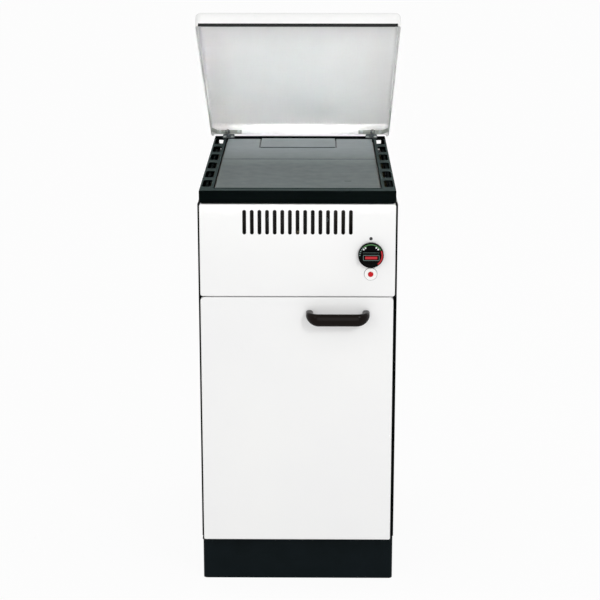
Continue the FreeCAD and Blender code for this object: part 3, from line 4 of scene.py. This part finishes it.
import bmesh
import bpy
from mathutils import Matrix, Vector


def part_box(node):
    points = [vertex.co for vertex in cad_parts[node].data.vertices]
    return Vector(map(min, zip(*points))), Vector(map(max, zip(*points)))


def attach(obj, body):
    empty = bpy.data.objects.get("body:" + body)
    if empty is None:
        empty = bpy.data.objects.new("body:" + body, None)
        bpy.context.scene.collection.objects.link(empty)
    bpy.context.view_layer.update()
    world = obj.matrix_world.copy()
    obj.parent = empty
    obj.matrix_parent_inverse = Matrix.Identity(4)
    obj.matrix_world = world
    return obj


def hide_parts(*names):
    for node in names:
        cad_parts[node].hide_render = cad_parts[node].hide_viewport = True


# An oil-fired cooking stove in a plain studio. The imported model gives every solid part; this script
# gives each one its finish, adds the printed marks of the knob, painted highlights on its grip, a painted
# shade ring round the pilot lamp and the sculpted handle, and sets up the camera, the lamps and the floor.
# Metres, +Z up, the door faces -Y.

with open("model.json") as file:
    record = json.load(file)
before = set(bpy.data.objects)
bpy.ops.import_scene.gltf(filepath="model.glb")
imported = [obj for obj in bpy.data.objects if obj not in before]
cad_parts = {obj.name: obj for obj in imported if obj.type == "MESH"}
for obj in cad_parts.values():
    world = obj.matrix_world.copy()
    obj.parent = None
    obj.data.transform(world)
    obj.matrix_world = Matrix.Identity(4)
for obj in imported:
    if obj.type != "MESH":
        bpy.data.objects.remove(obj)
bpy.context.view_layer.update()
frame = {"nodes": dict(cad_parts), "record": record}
nodes = frame["nodes"]
MM = 0.001

# Camera: fitted to the photograph's rows and columns, its upright lines left to converge.
PICTURE = 600
SENSOR = 36.0
FRONT_Y = -0.300
EYE_AHEAD = 3.400
EYE_RIGHT = 0.034
EYE_HEIGHT = 1.577
PITCH = 15.63
YAW = 0.49
FOCAL_PIXELS = 1760.0

# Lamps: the name, place, aim, width and watts of each softbox, then the name, place, size and watts
# of each narrow beam. The beams run level at the height of the lid's inner face.
SKY_STRENGTH = 0.75
SOFTBOXES = (
    ("key_light", (1.5, -3.2, 2.4), (0, 0, 0.7), 0.5, 26.0),
    ("fill_light", (-1.9, -3.0, 1.9), (0, 0, 0.6), 0.5, 6.0),
    ("front_light", (0.1, -3.3, 0.9), (0, 0.1, 0.9), 1.8, 13.0),
)
BEAM_HEIGHT = 0.99
BEAM_SPREAD = 2.0
BEAMS = (
    ("lid_light", (0, -3.4, BEAM_HEIGHT), (0.50, 0.30), 0.238),
    ("lid_side_light", (-2.2, -2.6, BEAM_HEIGHT), (0.66, 0.30), 0.15),
    ("lid_side_light", (2.2, -2.6, BEAM_HEIGHT), (0.66, 0.30), 0.15),
)

# Floor.
FLOOR_SIZE = 60.0
FLOOR_Z = -0.0005
FLOOR_SHADE = 0.8
FLOOR_ROUGHNESS = 0.9
FLOOR_SHARE_OF_SCREEN = 0.94

# Most of a noise lies between these values.
NOISE_LOW = 0.3
NOISE_HIGH = 0.7


def screen(red, green, blue):
    """A scene-linear colour from screen values of 0 to 255."""
    def linear(value):
        share = value / 255
        return share / 12.92 if share <= 0.04045 else ((share + 0.055) / 1.055) ** 2.4

    return (linear(red), linear(green), linear(blue), 1.0)


class Finish:
    """One material, built up by short calls."""

    def __init__(self, name):
        self.material = bpy.data.materials.new(name)
        self.material.use_nodes = True
        self.tree = self.material.node_tree
        self.shader = self.tree.nodes["Principled BSDF"]
        self.place = self.tree.nodes.new("ShaderNodeTexCoord").outputs["Object"]

    def set(self, **values):
        """Sets sockets of the shader, named with _ for a space."""
        for name, value in values.items():
            self.shader.inputs[name.replace("_", " ")].default_value = value

    def link(self, output, socket):
        """Feeds a socket of the shader."""
        self.tree.links.new(output, self.shader.inputs[socket])

    def stretched(self, x, y, z):
        """Object coordinates scaled on each axis."""
        mapping = self.tree.nodes.new("ShaderNodeMapping")
        mapping.inputs["Scale"].default_value = (x, y, z)
        self.tree.links.new(self.place, mapping.inputs["Vector"])
        return mapping.outputs["Vector"]

    def along(self, axis):
        """The place along one axis."""
        split = self.tree.nodes.new("ShaderNodeSeparateXYZ")
        self.tree.links.new(self.place, split.inputs["Vector"])
        return split.outputs[axis]

    def upward(self):
        """How far the surface faces up, 1 where it lies flat."""
        split = self.tree.nodes.new("ShaderNodeSeparateXYZ")
        self.tree.links.new(self.place.node.outputs["Normal"], split.inputs["Vector"])
        return split.outputs["Z"]

    def noise(self, scale, detail=3.0, vector=None, roughness=0.5):
        """Smooth noise from 0 to 1, its scale in cells per metre."""
        node = self.tree.nodes.new("ShaderNodeTexNoise")
        node.inputs["Scale"].default_value = scale
        node.inputs["Detail"].default_value = detail
        node.inputs["Roughness"].default_value = roughness
        self.tree.links.new(vector or self.place, node.inputs["Vector"])
        return node.outputs["Fac"]

    def flakes(self, scale):
        """Voronoi cells, each with a number of its own from 0 to 1."""
        node = self.tree.nodes.new("ShaderNodeTexVoronoi")
        node.inputs["Scale"].default_value = scale
        self.tree.links.new(self.place, node.inputs["Vector"])
        split = self.tree.nodes.new("ShaderNodeSeparateColor")
        self.tree.links.new(node.outputs["Color"], split.inputs["Color"])
        return split.outputs[0]

    def spread(self, value, from_low, from_high, to_low, to_high):
        """Maps one range onto another."""
        node = self.tree.nodes.new("ShaderNodeMapRange")
        for socket, number in zip(("From Min", "From Max", "To Min", "To Max"),
                                  (from_low, from_high, to_low, to_high)):
            node.inputs[socket].default_value = number
        self.tree.links.new(value, node.inputs["Value"])
        return node.outputs["Result"]

    def mix(self, share, first, second):
        """Mixes two colours, or outputs, by a share."""
        node = self.tree.nodes.new("ShaderNodeMix")
        node.data_type = "RGBA"
        self.tree.links.new(share, node.inputs["Factor"])
        for socket, value in ((6, first), (7, second)):
            if isinstance(value, tuple):
                node.inputs[socket].default_value = value
            else:
                self.tree.links.new(value, node.inputs[socket])
        return node.outputs[2]

    def mottle(self, noise, base, shade, low=NOISE_LOW, high=NOISE_HIGH):
        """Two colours, mixed by a noise."""
        return self.mix(self.spread(noise, low, high, 0.0, 1.0), base, shade)

    def roughen(self, noise, rough):
        """Roughness that follows a noise from one value to another."""
        self.link(self.spread(noise, NOISE_LOW, NOISE_HIGH, *rough), "Roughness")

    def patch(self, around, inside, box, soft):
        """One colour inside a box seen from above, another around it."""
        for axis, start, end in zip("XY", *box):
            place = self.along(axis)
            inside = self.mix(self.spread(place, start - soft, start, 0.0, 1.0), around, inside)
            inside = self.mix(self.spread(place, end, end + soft, 1.0, 0.0), around, inside)
        return inside

    def bump(self, height, strength, depth, under=None):
        """Bumps the surface by a height, depth in metres, on top of an earlier bump."""
        node = self.tree.nodes.new("ShaderNodeBump")
        node.inputs["Strength"].default_value = strength
        node.inputs["Distance"].default_value = depth
        self.tree.links.new(height, node.inputs["Height"])
        if under is not None:
            self.tree.links.new(under, node.inputs["Normal"])
        self.tree.links.new(node.outputs["Normal"], self.shader.inputs["Normal"])
        return node.outputs["Normal"]


# Behind here, under the lid, the hob's top gets no painted sheen and stays dark, as painted shade.
LID_SHADE_Y = 0.262
LID_SHADE_BLEND = 0.004


def enamel(name, base, shade, specular, rough=(0.08, 0.16), top_sheen=None):
    """Fired enamel: glossy, with a faint orange peel, and if asked a painted pale sheen on its upward
    faces, left off under the lid as painted shade.
    """
    finish = Finish(name)
    tone = finish.mottle(finish.noise(3.5, 2.0), base, shade)
    # Painted light: upward faces turn paler, as the lamps' light falls on them, and stay dark under the
    # lid as painted shade.
    if top_sheen:
        under_lid_shade = finish.spread(finish.along("Y"), LID_SHADE_Y - LID_SHADE_BLEND, LID_SHADE_Y, 0.0, 1.0)
        top_sheen = finish.mix(under_lid_shade, top_sheen, base)
        tone = finish.mix(finish.spread(finish.upward(), 0.6, 0.95, 0.0, 1.0), tone, top_sheen)
    finish.link(tone, "Base Color")
    finish.roughen(finish.noise(18.0), rough)
    peel = finish.bump(finish.noise(230.0, 2.0), 0.05, 0.0004)
    finish.bump(finish.noise(1400.0, 1.0), 0.03, 0.00008, peel)
    finish.set(Specular_IOR_Level=specular)
    return finish.material


# The plates carry a painted reflection of the lid's lit inside: darker at the front, over the burner, and
# paler from here to there, towards the flue. Painted shade edges the seam between them, and the cleaning
# cover.
PLATE_DARK_Y = -0.05
PLATE_LIT_Y = 0.16
# Painted shade for the gaps at the seam and round the cleaning cover, and the widths it spreads over.
GAP_SHADE = screen(52, 60, 60)
SEAM_SHADE_WIDTH = 0.004
COVER_SHADE_WIDTH = 0.002


def grown(box, margin):
    """A box with its corners moved outwards."""
    low, high = box
    return [place - margin for place in low], [place + margin for place in high]


def ground_plate(name):
    """Ground grey iron: satin, with faint marks across it, a painted reflection that pales it towards the
    rear, and painted shade along its gaps.
    """
    finish = Finish(name)
    tone = finish.mottle(finish.noise(7.0, 4.0), screen(95, 106, 104), screen(103, 114, 113), 0.32)
    # Painted reflection: the iron turns paler towards the rear, where the lid's lit inside would show in
    # it.
    reflection_share = finish.spread(finish.along("Y"), PLATE_DARK_Y, PLATE_LIT_Y, 0.0, 1.0)
    tone = finish.mix(reflection_share, tone, screen(182, 192, 194))
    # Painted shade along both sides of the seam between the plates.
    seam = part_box("cooking_plate_rear")[0][1]
    ahead = finish.spread(finish.along("Y"), seam - SEAM_SHADE_WIDTH, seam, 0.0, 1.0)
    behind = finish.spread(finish.along("Y"), seam, seam + SEAM_SHADE_WIDTH, 1.0, 0.0)
    tone = finish.mix(ahead, tone, finish.mix(behind, tone, GAP_SHADE))
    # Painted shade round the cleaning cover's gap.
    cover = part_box("cleaning_cover")
    cover_shade = finish.patch(tone, GAP_SHADE, grown(cover, COVER_SHADE_WIDTH), COVER_SHADE_WIDTH)
    tone = finish.patch(cover_shade, tone, grown(cover, -COVER_SHADE_WIDTH / 2), COVER_SHADE_WIDTH / 2)
    grain = finish.noise(420.0, 2.0, finish.stretched(0.15, 1.0, 1.0))
    tone = finish.mix(finish.spread(grain, 0.2, 0.8, 0.0, 0.2), tone, screen(98, 108, 107))
    finish.link(tone, "Base Color")
    finish.roughen(finish.noise(40.0, 4.0), (0.30, 0.38))
    finish.bump(grain, 0.03, 0.0001)
    finish.set(Metallic=0.45, Specular_IOR_Level=0.5)
    return finish.material


def plated(name, base, shade, rough=(0.28, 0.42), spangle=0.0, metal=0.9):
    """Zinc-plated steel, with a spangle on sheets."""
    finish = Finish(name)
    tone = finish.mottle(finish.noise(30.0), base, shade)
    if spangle:
        share = finish.spread(finish.flakes(90.0), 0.0, 1.0, 0.0, spangle)
        tone = finish.mix(share, tone, screen(210, 214, 216))
    finish.link(tone, "Base Color")
    finish.roughen(finish.noise(120.0), rough)
    finish.bump(finish.noise(500.0), 0.06, 0.0002)
    finish.set(Metallic=metal)
    return finish.material


def scaled_steel(name):
    """Heat-resistant sheet, blue-brown where it has been hot, with a dull scale."""
    finish = Finish(name)
    heat = finish.noise(14.0, 5.0)
    finish.link(finish.mottle(heat, screen(44, 43, 43), screen(62, 56, 52), 0.35, 0.65), "Base Color")
    finish.roughen(finish.noise(60.0, 4.0), (0.45, 0.7))
    finish.bump(finish.noise(380.0, 5.0), 0.15, 0.0003)
    finish.set(Metallic=0.6)
    return finish.material


def moulded(name, base, shade, rough=(0.25, 0.38), grain=0.06, specular=0.5):
    """Moulded plastic with a fine grain."""
    finish = Finish(name)
    finish.link(finish.mottle(finish.noise(25.0), base, shade), "Base Color")
    finish.roughen(finish.noise(160.0), rough)
    finish.bump(finish.noise(1800.0, 2.0), grain, 0.0001)
    finish.set(Specular_IOR_Level=specular)
    return finish.material


def painted_print(name, base, shade):
    """Printing ink: flat, slightly uneven colour."""
    return moulded(name, base, shade, rough=(0.35, 0.5), grain=0.04, specular=0.3)


def fibre(name, base, shade, scale):
    """Mineral wool, rope gasket or pressed board: matt, fibrous and uneven."""
    finish = Finish(name)
    strands = finish.noise(scale, 6.0, finish.stretched(1.0, 0.2, 0.5), 0.7)
    finish.link(finish.mottle(strands, base, shade), "Base Color")
    finish.link(finish.spread(strands, 0.2, 0.8, 0.85, 1.0), "Roughness")
    finish.bump(strands, 0.6, 0.001)
    return finish.material


def lens(name):
    """Clear red moulded lens with a faint pattern inside."""
    finish = Finish(name)
    ribs = finish.noise(700.0, 2.0)
    finish.link(finish.mottle(ribs, screen(206, 14, 24), screen(176, 8, 18)), "Base Color")
    finish.roughen(ribs, (0.06, 0.14))
    finish.bump(ribs, 0.1, 0.0003)
    finish.set(Specular_IOR_Level=0.15, Coat_Weight=0.1, Coat_Roughness=0.03)
    return finish.material


def window_glass(name):
    """Heat-proof glass with a trace of soot."""
    finish = Finish(name)
    soot = finish.noise(120.0, 4.0)
    finish.link(finish.mottle(soot, screen(235, 225, 190), screen(150, 130, 90), 0.4, 0.8), "Base Color")
    finish.roughen(soot, (0.03, 0.12))
    finish.set(Transmission_Weight=0.85, IOR=1.5)
    return finish.material


FINISHES = {
    "enamel_white": enamel("enamel_white", screen(240, 240, 239), screen(237, 237, 237), 0.4),
    "enamel_black": enamel("enamel_black", screen(3, 6, 6), screen(5, 8, 8), 0.02, (0.10, 0.2)),
    "zinc_sheet": plated("zinc_sheet", screen(150, 154, 156), screen(168, 171, 172), spangle=0.35),
    "plate_iron": ground_plate("plate_iron"),
    "scaled_steel": scaled_steel("scaled_steel"),
    # The hob's upward faces get a painted pale sheen.
    "hob_black": enamel(
        "hob_black", screen(6, 10, 10), screen(8, 13, 13), 0.0, (0.10, 0.2), top_sheen=screen(70, 80, 79)),
    "plinth_black": moulded(
        "plinth_black", screen(12, 19, 21), screen(15, 22, 25), (0.35, 0.5), 0.05, 0.04),
    "strap_zinc": plated("strap_zinc", screen(150, 156, 148), screen(164, 169, 162), metal=0.5),
    "screw_zinc": plated("screw_zinc", screen(176, 184, 184), screen(192, 199, 199), metal=0.5),
    "refractory": fibre("refractory", screen(196, 188, 170), screen(176, 164, 142), 300.0),
    "mineral_wool": fibre("mineral_wool", screen(186, 176, 138), screen(150, 138, 100), 420.0),
    "gasket_rope": fibre("gasket_rope", screen(196, 194, 188), screen(150, 148, 142), 700.0),
    "knob_black": moulded("knob_black", screen(4, 4, 5), screen(6, 6, 7), specular=0.03),
    "dial_print": moulded("dial_print", screen(5, 6, 6), screen(8, 9, 9), specular=0.03),
    "handle_brown": moulded(
        "handle_brown", screen(20, 13, 9), screen(15, 10, 7), (0.07, 0.11), 0.02, 0.09),
    "lens_red": lens("lens_red"),
    "chrome_ring": moulded("chrome_ring", screen(244, 244, 242), screen(240, 240, 238), (0.15, 0.25)),
    "rubber_black": moulded("rubber_black", screen(8, 10, 10), screen(13, 15, 15), (0.5, 0.65), 0.05, 0.3),
    "zinc_fastener": plated("zinc_fastener", screen(164, 171, 166), screen(184, 190, 186), metal=0.5),
    "hinge_steel": plated("hinge_steel", screen(70, 76, 78), screen(96, 102, 103)),
    "copper_pipe": plated("copper_pipe", screen(190, 118, 84), screen(160, 96, 70), (0.2, 0.35)),
    "cast_alloy": plated("cast_alloy", screen(140, 142, 144), screen(160, 161, 162), (0.4, 0.55)),
    "tank_paint": enamel("tank_paint", screen(126, 52, 38), screen(116, 46, 34), 0.4, (0.3, 0.42)),
    "plastic_black": moulded("plastic_black", screen(20, 20, 21), screen(28, 28, 29), (0.35, 0.5)),
    "plastic_red": moulded("plastic_red", screen(170, 30, 26), screen(150, 24, 22)),
    "bronze": plated("bronze", screen(160, 128, 80), screen(140, 110, 66), (0.35, 0.5)),
    "sight_glass": window_glass("sight_glass"),
}
PRINT_GREEN = painted_print("print_green", screen(74, 128, 72), screen(62, 110, 62))
PRINT_RED = painted_print("print_red", screen(190, 26, 36), screen(172, 22, 32))
# Grey for the painted shade in the groove round the pilot lamp's bezel.
GROOVE_SHADE = painted_print("painted_groove_shade", screen(128, 134, 136), screen(138, 143, 145))
# Grey ink of the dial's ticks, used also for the painted highlights on the grip's edges.
GREY_PRINT_AND_HIGHLIGHT = painted_print("grey_print_and_highlight", screen(124, 146, 140), screen(108, 128, 122))
PRINT_WHITE = painted_print("print_white", screen(236, 238, 236), screen(222, 226, 224))

# Nodes whose finish is a variant of their slot's.
VARIANTS = {
    "hob_frame": "hob_black", "plinth_frame": "plinth_black",
    "lid_straps": "strap_zinc", "lid_screws": "screw_zinc", "cover_nuts": "hinge_steel",
}


def dress_nodes():
    """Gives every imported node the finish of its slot, or its variant of that."""
    for part in frame["record"]["subparts"]:
        node = nodes[part["node"]]
        material = FINISHES[VARIANTS.get(part["node"], part["material_slot"])]
        node.data.materials.clear()
        node.data.materials.append(material)


def new_piece(name, mesh, material, body):
    """A new object from a bmesh, dressed and set to ride on a body."""
    data = bpy.data.meshes.new(name)
    mesh.to_mesh(data)
    mesh.free()
    data.materials.append(material)
    piece = bpy.data.objects.new(name, data)
    bpy.context.scene.collection.objects.link(piece)
    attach(piece, body)
    return piece


def corners(node):
    """The lowest and the highest corner of a node, as vectors."""
    return [Vector(corner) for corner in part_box(node)]


# Handle: a bow whose lower edge sweeps up as its ends turn back into the door. The bend makes up
# HANDLE_BEND_SHARE of that turn and the straight root the rest.
HANDLE_STRAIGHT_STEPS = 4
HANDLE_BEND_STEPS = 22
HANDLE_ROOT_STEPS = 3
HANDLE_RING = 28
HANDLE_BEND_SHARE = 0.8
HANDLE_BEND = 19.0 * MM
HANDLE_THICK = 13.0 * MM
HANDLE_ROOT_THICK = 15.0 * MM
HANDLE_SWEEP = 13.0 * MM
HANDLE_DROP = 0.5 * MM
HANDLE_ROUND_POWER = 2.3


def handle_path(low, high):
    """Stations along the right half of the bow: place, outward direction and share of the turn."""
    middle = (low.x + high.x) / 2
    reach = (high.x - low.x) / 2 - HANDLE_ROOT_THICK / 2
    out = low.y + HANDLE_THICK / 2
    stations = [(Vector((middle, out, 0)), Vector((0, -1, 0)), 0.0)]
    straight = reach - HANDLE_BEND
    for step in range(1, HANDLE_STRAIGHT_STEPS):
        x = middle + straight * step / HANDLE_STRAIGHT_STEPS
        stations.append((Vector((x, out, 0)), Vector((0, -1, 0)), 0.0))
    for step in range(HANDLE_BEND_STEPS + 1):
        angle = step / HANDLE_BEND_STEPS * math.pi / 2
        x = middle + straight + HANDLE_BEND * math.sin(angle)
        y = out + HANDLE_BEND * (1 - math.cos(angle))
        outward = Vector((math.sin(angle), -math.cos(angle), 0))
        stations.append((Vector((x, y, 0)), outward, HANDLE_BEND_SHARE * (1 - math.cos(angle))))
    last = stations[-1][0]
    for step in range(1, HANDLE_ROOT_STEPS + 1):
        part = step / HANDLE_ROOT_STEPS
        y = last.y + (high.y - last.y) * part
        share = HANDLE_BEND_SHARE + (1 - HANDLE_BEND_SHARE) * part
        stations.append((Vector((last.x, y, 0)), Vector((1, 0, 0)), share))
    return middle, stations


def handle():
    """The dark handle on the door."""
    low, high = corners("door_handle")
    middle, half = handle_path(low, high)
    left = [
        (Vector((2 * middle - p.x, p.y, 0)), Vector((-o.x, o.y, 0)), share)
        for p, o, share in reversed(half[1:])
    ]
    mesh = bmesh.new()
    rings = []
    for place, outward, share in left + half:
        base = low.z + HANDLE_SWEEP * share
        top = high.z - HANDLE_DROP * share * share
        thick = HANDLE_THICK + (HANDLE_ROOT_THICK - HANDLE_THICK) * share
        ring = []
        for step in range(HANDLE_RING):
            angle = 2 * math.pi * step / HANDLE_RING
            across = math.copysign(abs(math.cos(angle)) ** (2 / HANDLE_ROUND_POWER), math.cos(angle))
            up = math.copysign(abs(math.sin(angle)) ** (2 / HANDLE_ROUND_POWER), math.sin(angle))
            point = place + outward * across * thick / 2
            point.z = (base + top) / 2 + up * (top - base) / 2
            ring.append(mesh.verts.new(point))
        rings.append(ring)
    for first, second in zip(rings, rings[1:]):
        for step in range(HANDLE_RING):
            after = (step + 1) % HANDLE_RING
            mesh.faces.new((first[step], first[after], second[after], second[step]))
    mesh.faces.new(rings[0][::-1])
    mesh.faces.new(rings[-1])
    bmesh.ops.recalc_face_normals(mesh, faces=mesh.faces)
    for face in mesh.faces:
        face.smooth = True
    piece = new_piece("handle_bow", mesh, FINISHES["handle_brown"], "door")
    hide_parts("door_handle")


# Marks printed on the knob. Angles are in degrees, from the right, against the clock.
MARK_RISE = 0.12 * MM
MARK_STEP = 3.0
BAND_OUTER = 23.8 * MM
BAND_INNER = 20.9 * MM
GREEN_OUTER = 23.5 * MM
GREEN_INNER = 21.4 * MM
GREEN_ARC = (30.0, 133.0)
RED_ARC = (-52.0, 25.0)
TICKS = (138.0, 147.0, 157.0, 167.0, 178.0)
TICK_WIDTH = 4.2
DOTS = (139.0, 125.0, 57.0, 42.0)
DOT_OUTER = 20.9 * MM
DOT_INNER = 17.6 * MM
DOT_WIDTH = 8.5
# Painted highlights on the grip's edges: their width, the half size of the frame they make, and the width
# of the line behind the grip's top.
HIGHLIGHT_WIDTH = 0.7 * MM
HIGHLIGHT_HALF = (16.0 * MM, 5.6 * MM)
TOP_HIGHLIGHT_WIDTH = 0.9 * MM
# Width of the painted shade ring in the groove round the pilot lamp's bezel.
GROOVE_SHADE_WIDTH = 0.8 * MM
WINDOW_BAR_WIDTH = 24.0 * MM
WINDOW_BAR_HEIGHT = 5.4 * MM


def knob_centre():
    """The middle of the knob's face, at the front of its printed ring."""
    low, high = corners("knob_dial")
    return Vector(((low.x + high.x) / 2, low.y, (low.z + high.z) / 2))


def sector(mesh, centre, inner, outer, start, end):
    """A raised piece of a ring, standing out towards -Y."""
    steps = max(2, round((end - start) / MARK_STEP))
    rows = []
    for step in range(steps + 1):
        angle = math.radians(start + (end - start) * step / steps)
        ray = Vector((math.cos(angle), 0, math.sin(angle)))
        outline = ((inner, MARK_RISE), (inner, -MARK_RISE), (outer, -MARK_RISE), (outer, MARK_RISE))
        rows.append([mesh.verts.new(centre + ray * radius + Vector((0, y, 0))) for radius, y in outline])
    for first, second in zip(rows, rows[1:]):
        for place in range(4):
            after = (place + 1) % 4
            mesh.faces.new((first[place], first[after], second[after], second[place]))
    mesh.faces.new(rows[0][::-1])
    mesh.faces.new(rows[-1])


def sectors(name, material, inner, outer, spans, centre=None, body="knob"):
    """Several pieces of one ring as one printed mark, on the knob unless told otherwise."""
    mesh = bmesh.new()
    for start, end in spans:
        sector(mesh, centre or knob_centre(), inner, outer, start, end)
    bmesh.ops.recalc_face_normals(mesh, faces=mesh.faces)
    piece = new_piece(name, mesh, material, body)


def bar(mesh, low, high):
    """A thin box between two corners."""
    made = bmesh.ops.create_cube(mesh, size=1.0)
    for vertex in made["verts"]:
        vertex.co = Vector([
            (low[axis] + high[axis]) / 2 + vertex.co[axis] * (high[axis] - low[axis]) for axis in range(3)
        ])


def knob_window():
    """Painted grey highlights round the grip's face and along the edge behind its top, and a plain red bar
    inside them.
    """
    centre = knob_centre()
    half_x, half_z = HIGHLIGHT_HALF
    y = corners("knob")[0].y
    mesh = bmesh.new()
    for sign in (-1, 1):
        z = centre.z + sign * (half_z - HIGHLIGHT_WIDTH / 2)
        bar(mesh, (centre.x - half_x, y - MARK_RISE, z - HIGHLIGHT_WIDTH / 2),
            (centre.x + half_x, y + MARK_RISE, z + HIGHLIGHT_WIDTH / 2))
        x = centre.x + sign * (half_x - HIGHLIGHT_WIDTH / 2)
        bar(mesh, (x - HIGHLIGHT_WIDTH / 2, y - MARK_RISE, centre.z - half_z),
            (x + HIGHLIGHT_WIDTH / 2, y + MARK_RISE, centre.z + half_z))
    back = centre.y - TOP_HIGHLIGHT_WIDTH / 2
    top = centre.z + half_z
    bar(mesh, (centre.x - half_x, back - TOP_HIGHLIGHT_WIDTH, top), (centre.x + half_x, back, top + TOP_HIGHLIGHT_WIDTH))
    piece = new_piece("grip_edge_highlights", mesh, GREY_PRINT_AND_HIGHLIGHT, "knob")
    mesh = bmesh.new()
    bar(mesh, (centre.x - WINDOW_BAR_WIDTH / 2, y - MARK_RISE, centre.z - WINDOW_BAR_HEIGHT / 2),
        (centre.x + WINDOW_BAR_WIDTH / 2, y + MARK_RISE, centre.z + WINDOW_BAR_HEIGHT / 2))
    piece = new_piece("grip_window", mesh, PRINT_RED, "knob")


def knob_marks():
    """The dial's green and red arcs, its ticks and its white marks."""
    sectors("dial_green", PRINT_GREEN, GREEN_INNER, GREEN_OUTER, [GREEN_ARC])
    sectors("dial_red", PRINT_RED, BAND_INNER, BAND_OUTER, [RED_ARC])
    sectors("dial_ticks", GREY_PRINT_AND_HIGHLIGHT, BAND_INNER, BAND_OUTER,
            [(tick - TICK_WIDTH / 2, tick + TICK_WIDTH / 2) for tick in TICKS])
    sectors("dial_dots", PRINT_WHITE, DOT_INNER, DOT_OUTER,
            [(dot - DOT_WIDTH / 2, dot + DOT_WIDTH / 2) for dot in DOTS])
    knob_window()


def lamp_groove_shade():
    """A painted shade ring for the groove round the pilot lamp's bezel."""
    low, high = corners("pilot_lamp_bezel")
    face_y = corners("control_panel")[0].y
    centre = Vector(((low.x + high.x) / 2, face_y, (low.z + high.z) / 2))
    radius = (high.x - low.x) / 2
    sectors("lamp_groove_shade", GROOVE_SHADE, radius, radius + GROOVE_SHADE_WIDTH, [(0.0, 180.0), (180.0, 360.0)],
            centre, "casing")


def shown_rays(tree):
    """1 for the rays that show a surface as it is: from the camera, off gloss and through glass."""
    path = tree.nodes.new("ShaderNodeLightPath")
    value = path.outputs["Is Camera Ray"]
    for kind in ("Is Glossy Ray", "Is Transmission Ray"):
        either = tree.nodes.new("ShaderNodeMath")
        either.operation = "MAXIMUM"
        tree.links.new(value, either.inputs[0])
        tree.links.new(path.outputs[kind], either.inputs[1])
        value = either.outputs[0]
    return value


def floor():
    """A plain white floor that keeps the stove's shadow and reaches past the picture's top."""
    mesh = bmesh.new()
    bmesh.ops.create_grid(mesh, x_segments=1, y_segments=1, size=FLOOR_SIZE / 2)
    data = bpy.data.meshes.new("studio_floor")
    mesh.to_mesh(data)
    mesh.free()
    plane = bpy.data.objects.new("studio_floor", data)
    bpy.context.scene.collection.objects.link(plane)
    plane.location.z = FLOOR_Z
    material = bpy.data.materials.new("floor_white")
    material.use_nodes = True
    tree = material.node_tree
    shader = tree.nodes["Principled BSDF"]
    shader.inputs["Base Color"].default_value = (FLOOR_SHADE, FLOOR_SHADE, FLOOR_SHADE, 1.0)
    shader.inputs["Roughness"].default_value = FLOOR_ROUGHNESS
    shader.inputs["Specular IOR Level"].default_value = 0.0
    glow = tree.nodes.new("ShaderNodeEmission")
    glow.inputs["Strength"].default_value = 1.0
    share = tree.nodes.new("ShaderNodeMath")
    share.operation = "MULTIPLY"
    share.inputs[1].default_value = FLOOR_SHARE_OF_SCREEN
    tree.links.new(shown_rays(tree), share.inputs[0])
    mix = tree.nodes.new("ShaderNodeMixShader")
    tree.links.new(share.outputs[0], mix.inputs[0])
    tree.links.new(shader.outputs[0], mix.inputs[1])
    tree.links.new(glow.outputs[0], mix.inputs[2])
    tree.links.new(mix.outputs[0], tree.nodes["Material Output"].inputs["Surface"])
    data.materials.append(material)


def sky():
    """Even white surroundings: plain to the camera, softer as light."""
    world = bpy.data.worlds.new("studio")
    bpy.context.scene.world = world
    world.use_nodes = True
    tree = world.node_tree
    light = tree.nodes["Background"]
    light.inputs["Color"].default_value = (1, 1, 1, 1)
    light.inputs["Strength"].default_value = SKY_STRENGTH
    seen = tree.nodes.new("ShaderNodeBackground")
    seen.inputs["Color"].default_value = (1, 1, 1, 1)
    seen.inputs["Strength"].default_value = 1.0
    mix = tree.nodes.new("ShaderNodeMixShader")
    tree.links.new(shown_rays(tree), mix.inputs[0])
    tree.links.new(light.outputs[0], mix.inputs[1])
    tree.links.new(seen.outputs[0], mix.inputs[2])
    tree.links.new(mix.outputs[0], tree.nodes["World Output"].inputs["Surface"])


def area_lamp(name, place, aim, size, watts):
    """An upright rectangle of light that looks at a point."""
    data = bpy.data.lights.new(name, "AREA")
    data.shape = "RECTANGLE"
    data.size, data.size_y = size
    data.energy = watts
    lamp = bpy.data.objects.new(name, data)
    lamp.location = place
    lamp.rotation_euler = (Vector(aim) - Vector(place)).to_track_quat("-Z", "Y").to_euler()
    bpy.context.scene.collection.objects.link(lamp)
    return lamp


def lamps():
    """The softboxes, and narrow beams as from behind a honeycomb, with no glint of their own."""
    for name, place, aim, width, watts in SOFTBOXES:
        area_lamp(name, place, aim, (width, width), watts)
    for name, place, size, watts in BEAMS:
        lamp = area_lamp(name, place, (0, 0, BEAM_HEIGHT), size, watts)
        lamp.data.spread = math.radians(BEAM_SPREAD)
        lamp.visible_glossy = False


def camera():
    """The eye point in front of the stove, looking a little down at it."""
    data = bpy.data.cameras.new("camera")
    data.sensor_width = SENSOR
    data.lens = FOCAL_PIXELS * SENSOR / PICTURE
    eye = bpy.data.objects.new("camera", data)
    eye.location = (EYE_RIGHT, FRONT_Y - EYE_AHEAD, EYE_HEIGHT)
    eye.rotation_euler = (math.radians(90 - PITCH), 0, math.radians(YAW))
    bpy.context.scene.collection.objects.link(eye)
    bpy.context.scene.camera = eye


bpy.context.scene.view_settings.view_transform = "Standard"
camera()
dress_nodes()
handle()
knob_marks()
lamp_groove_shade()
floor()
sky()
lamps()
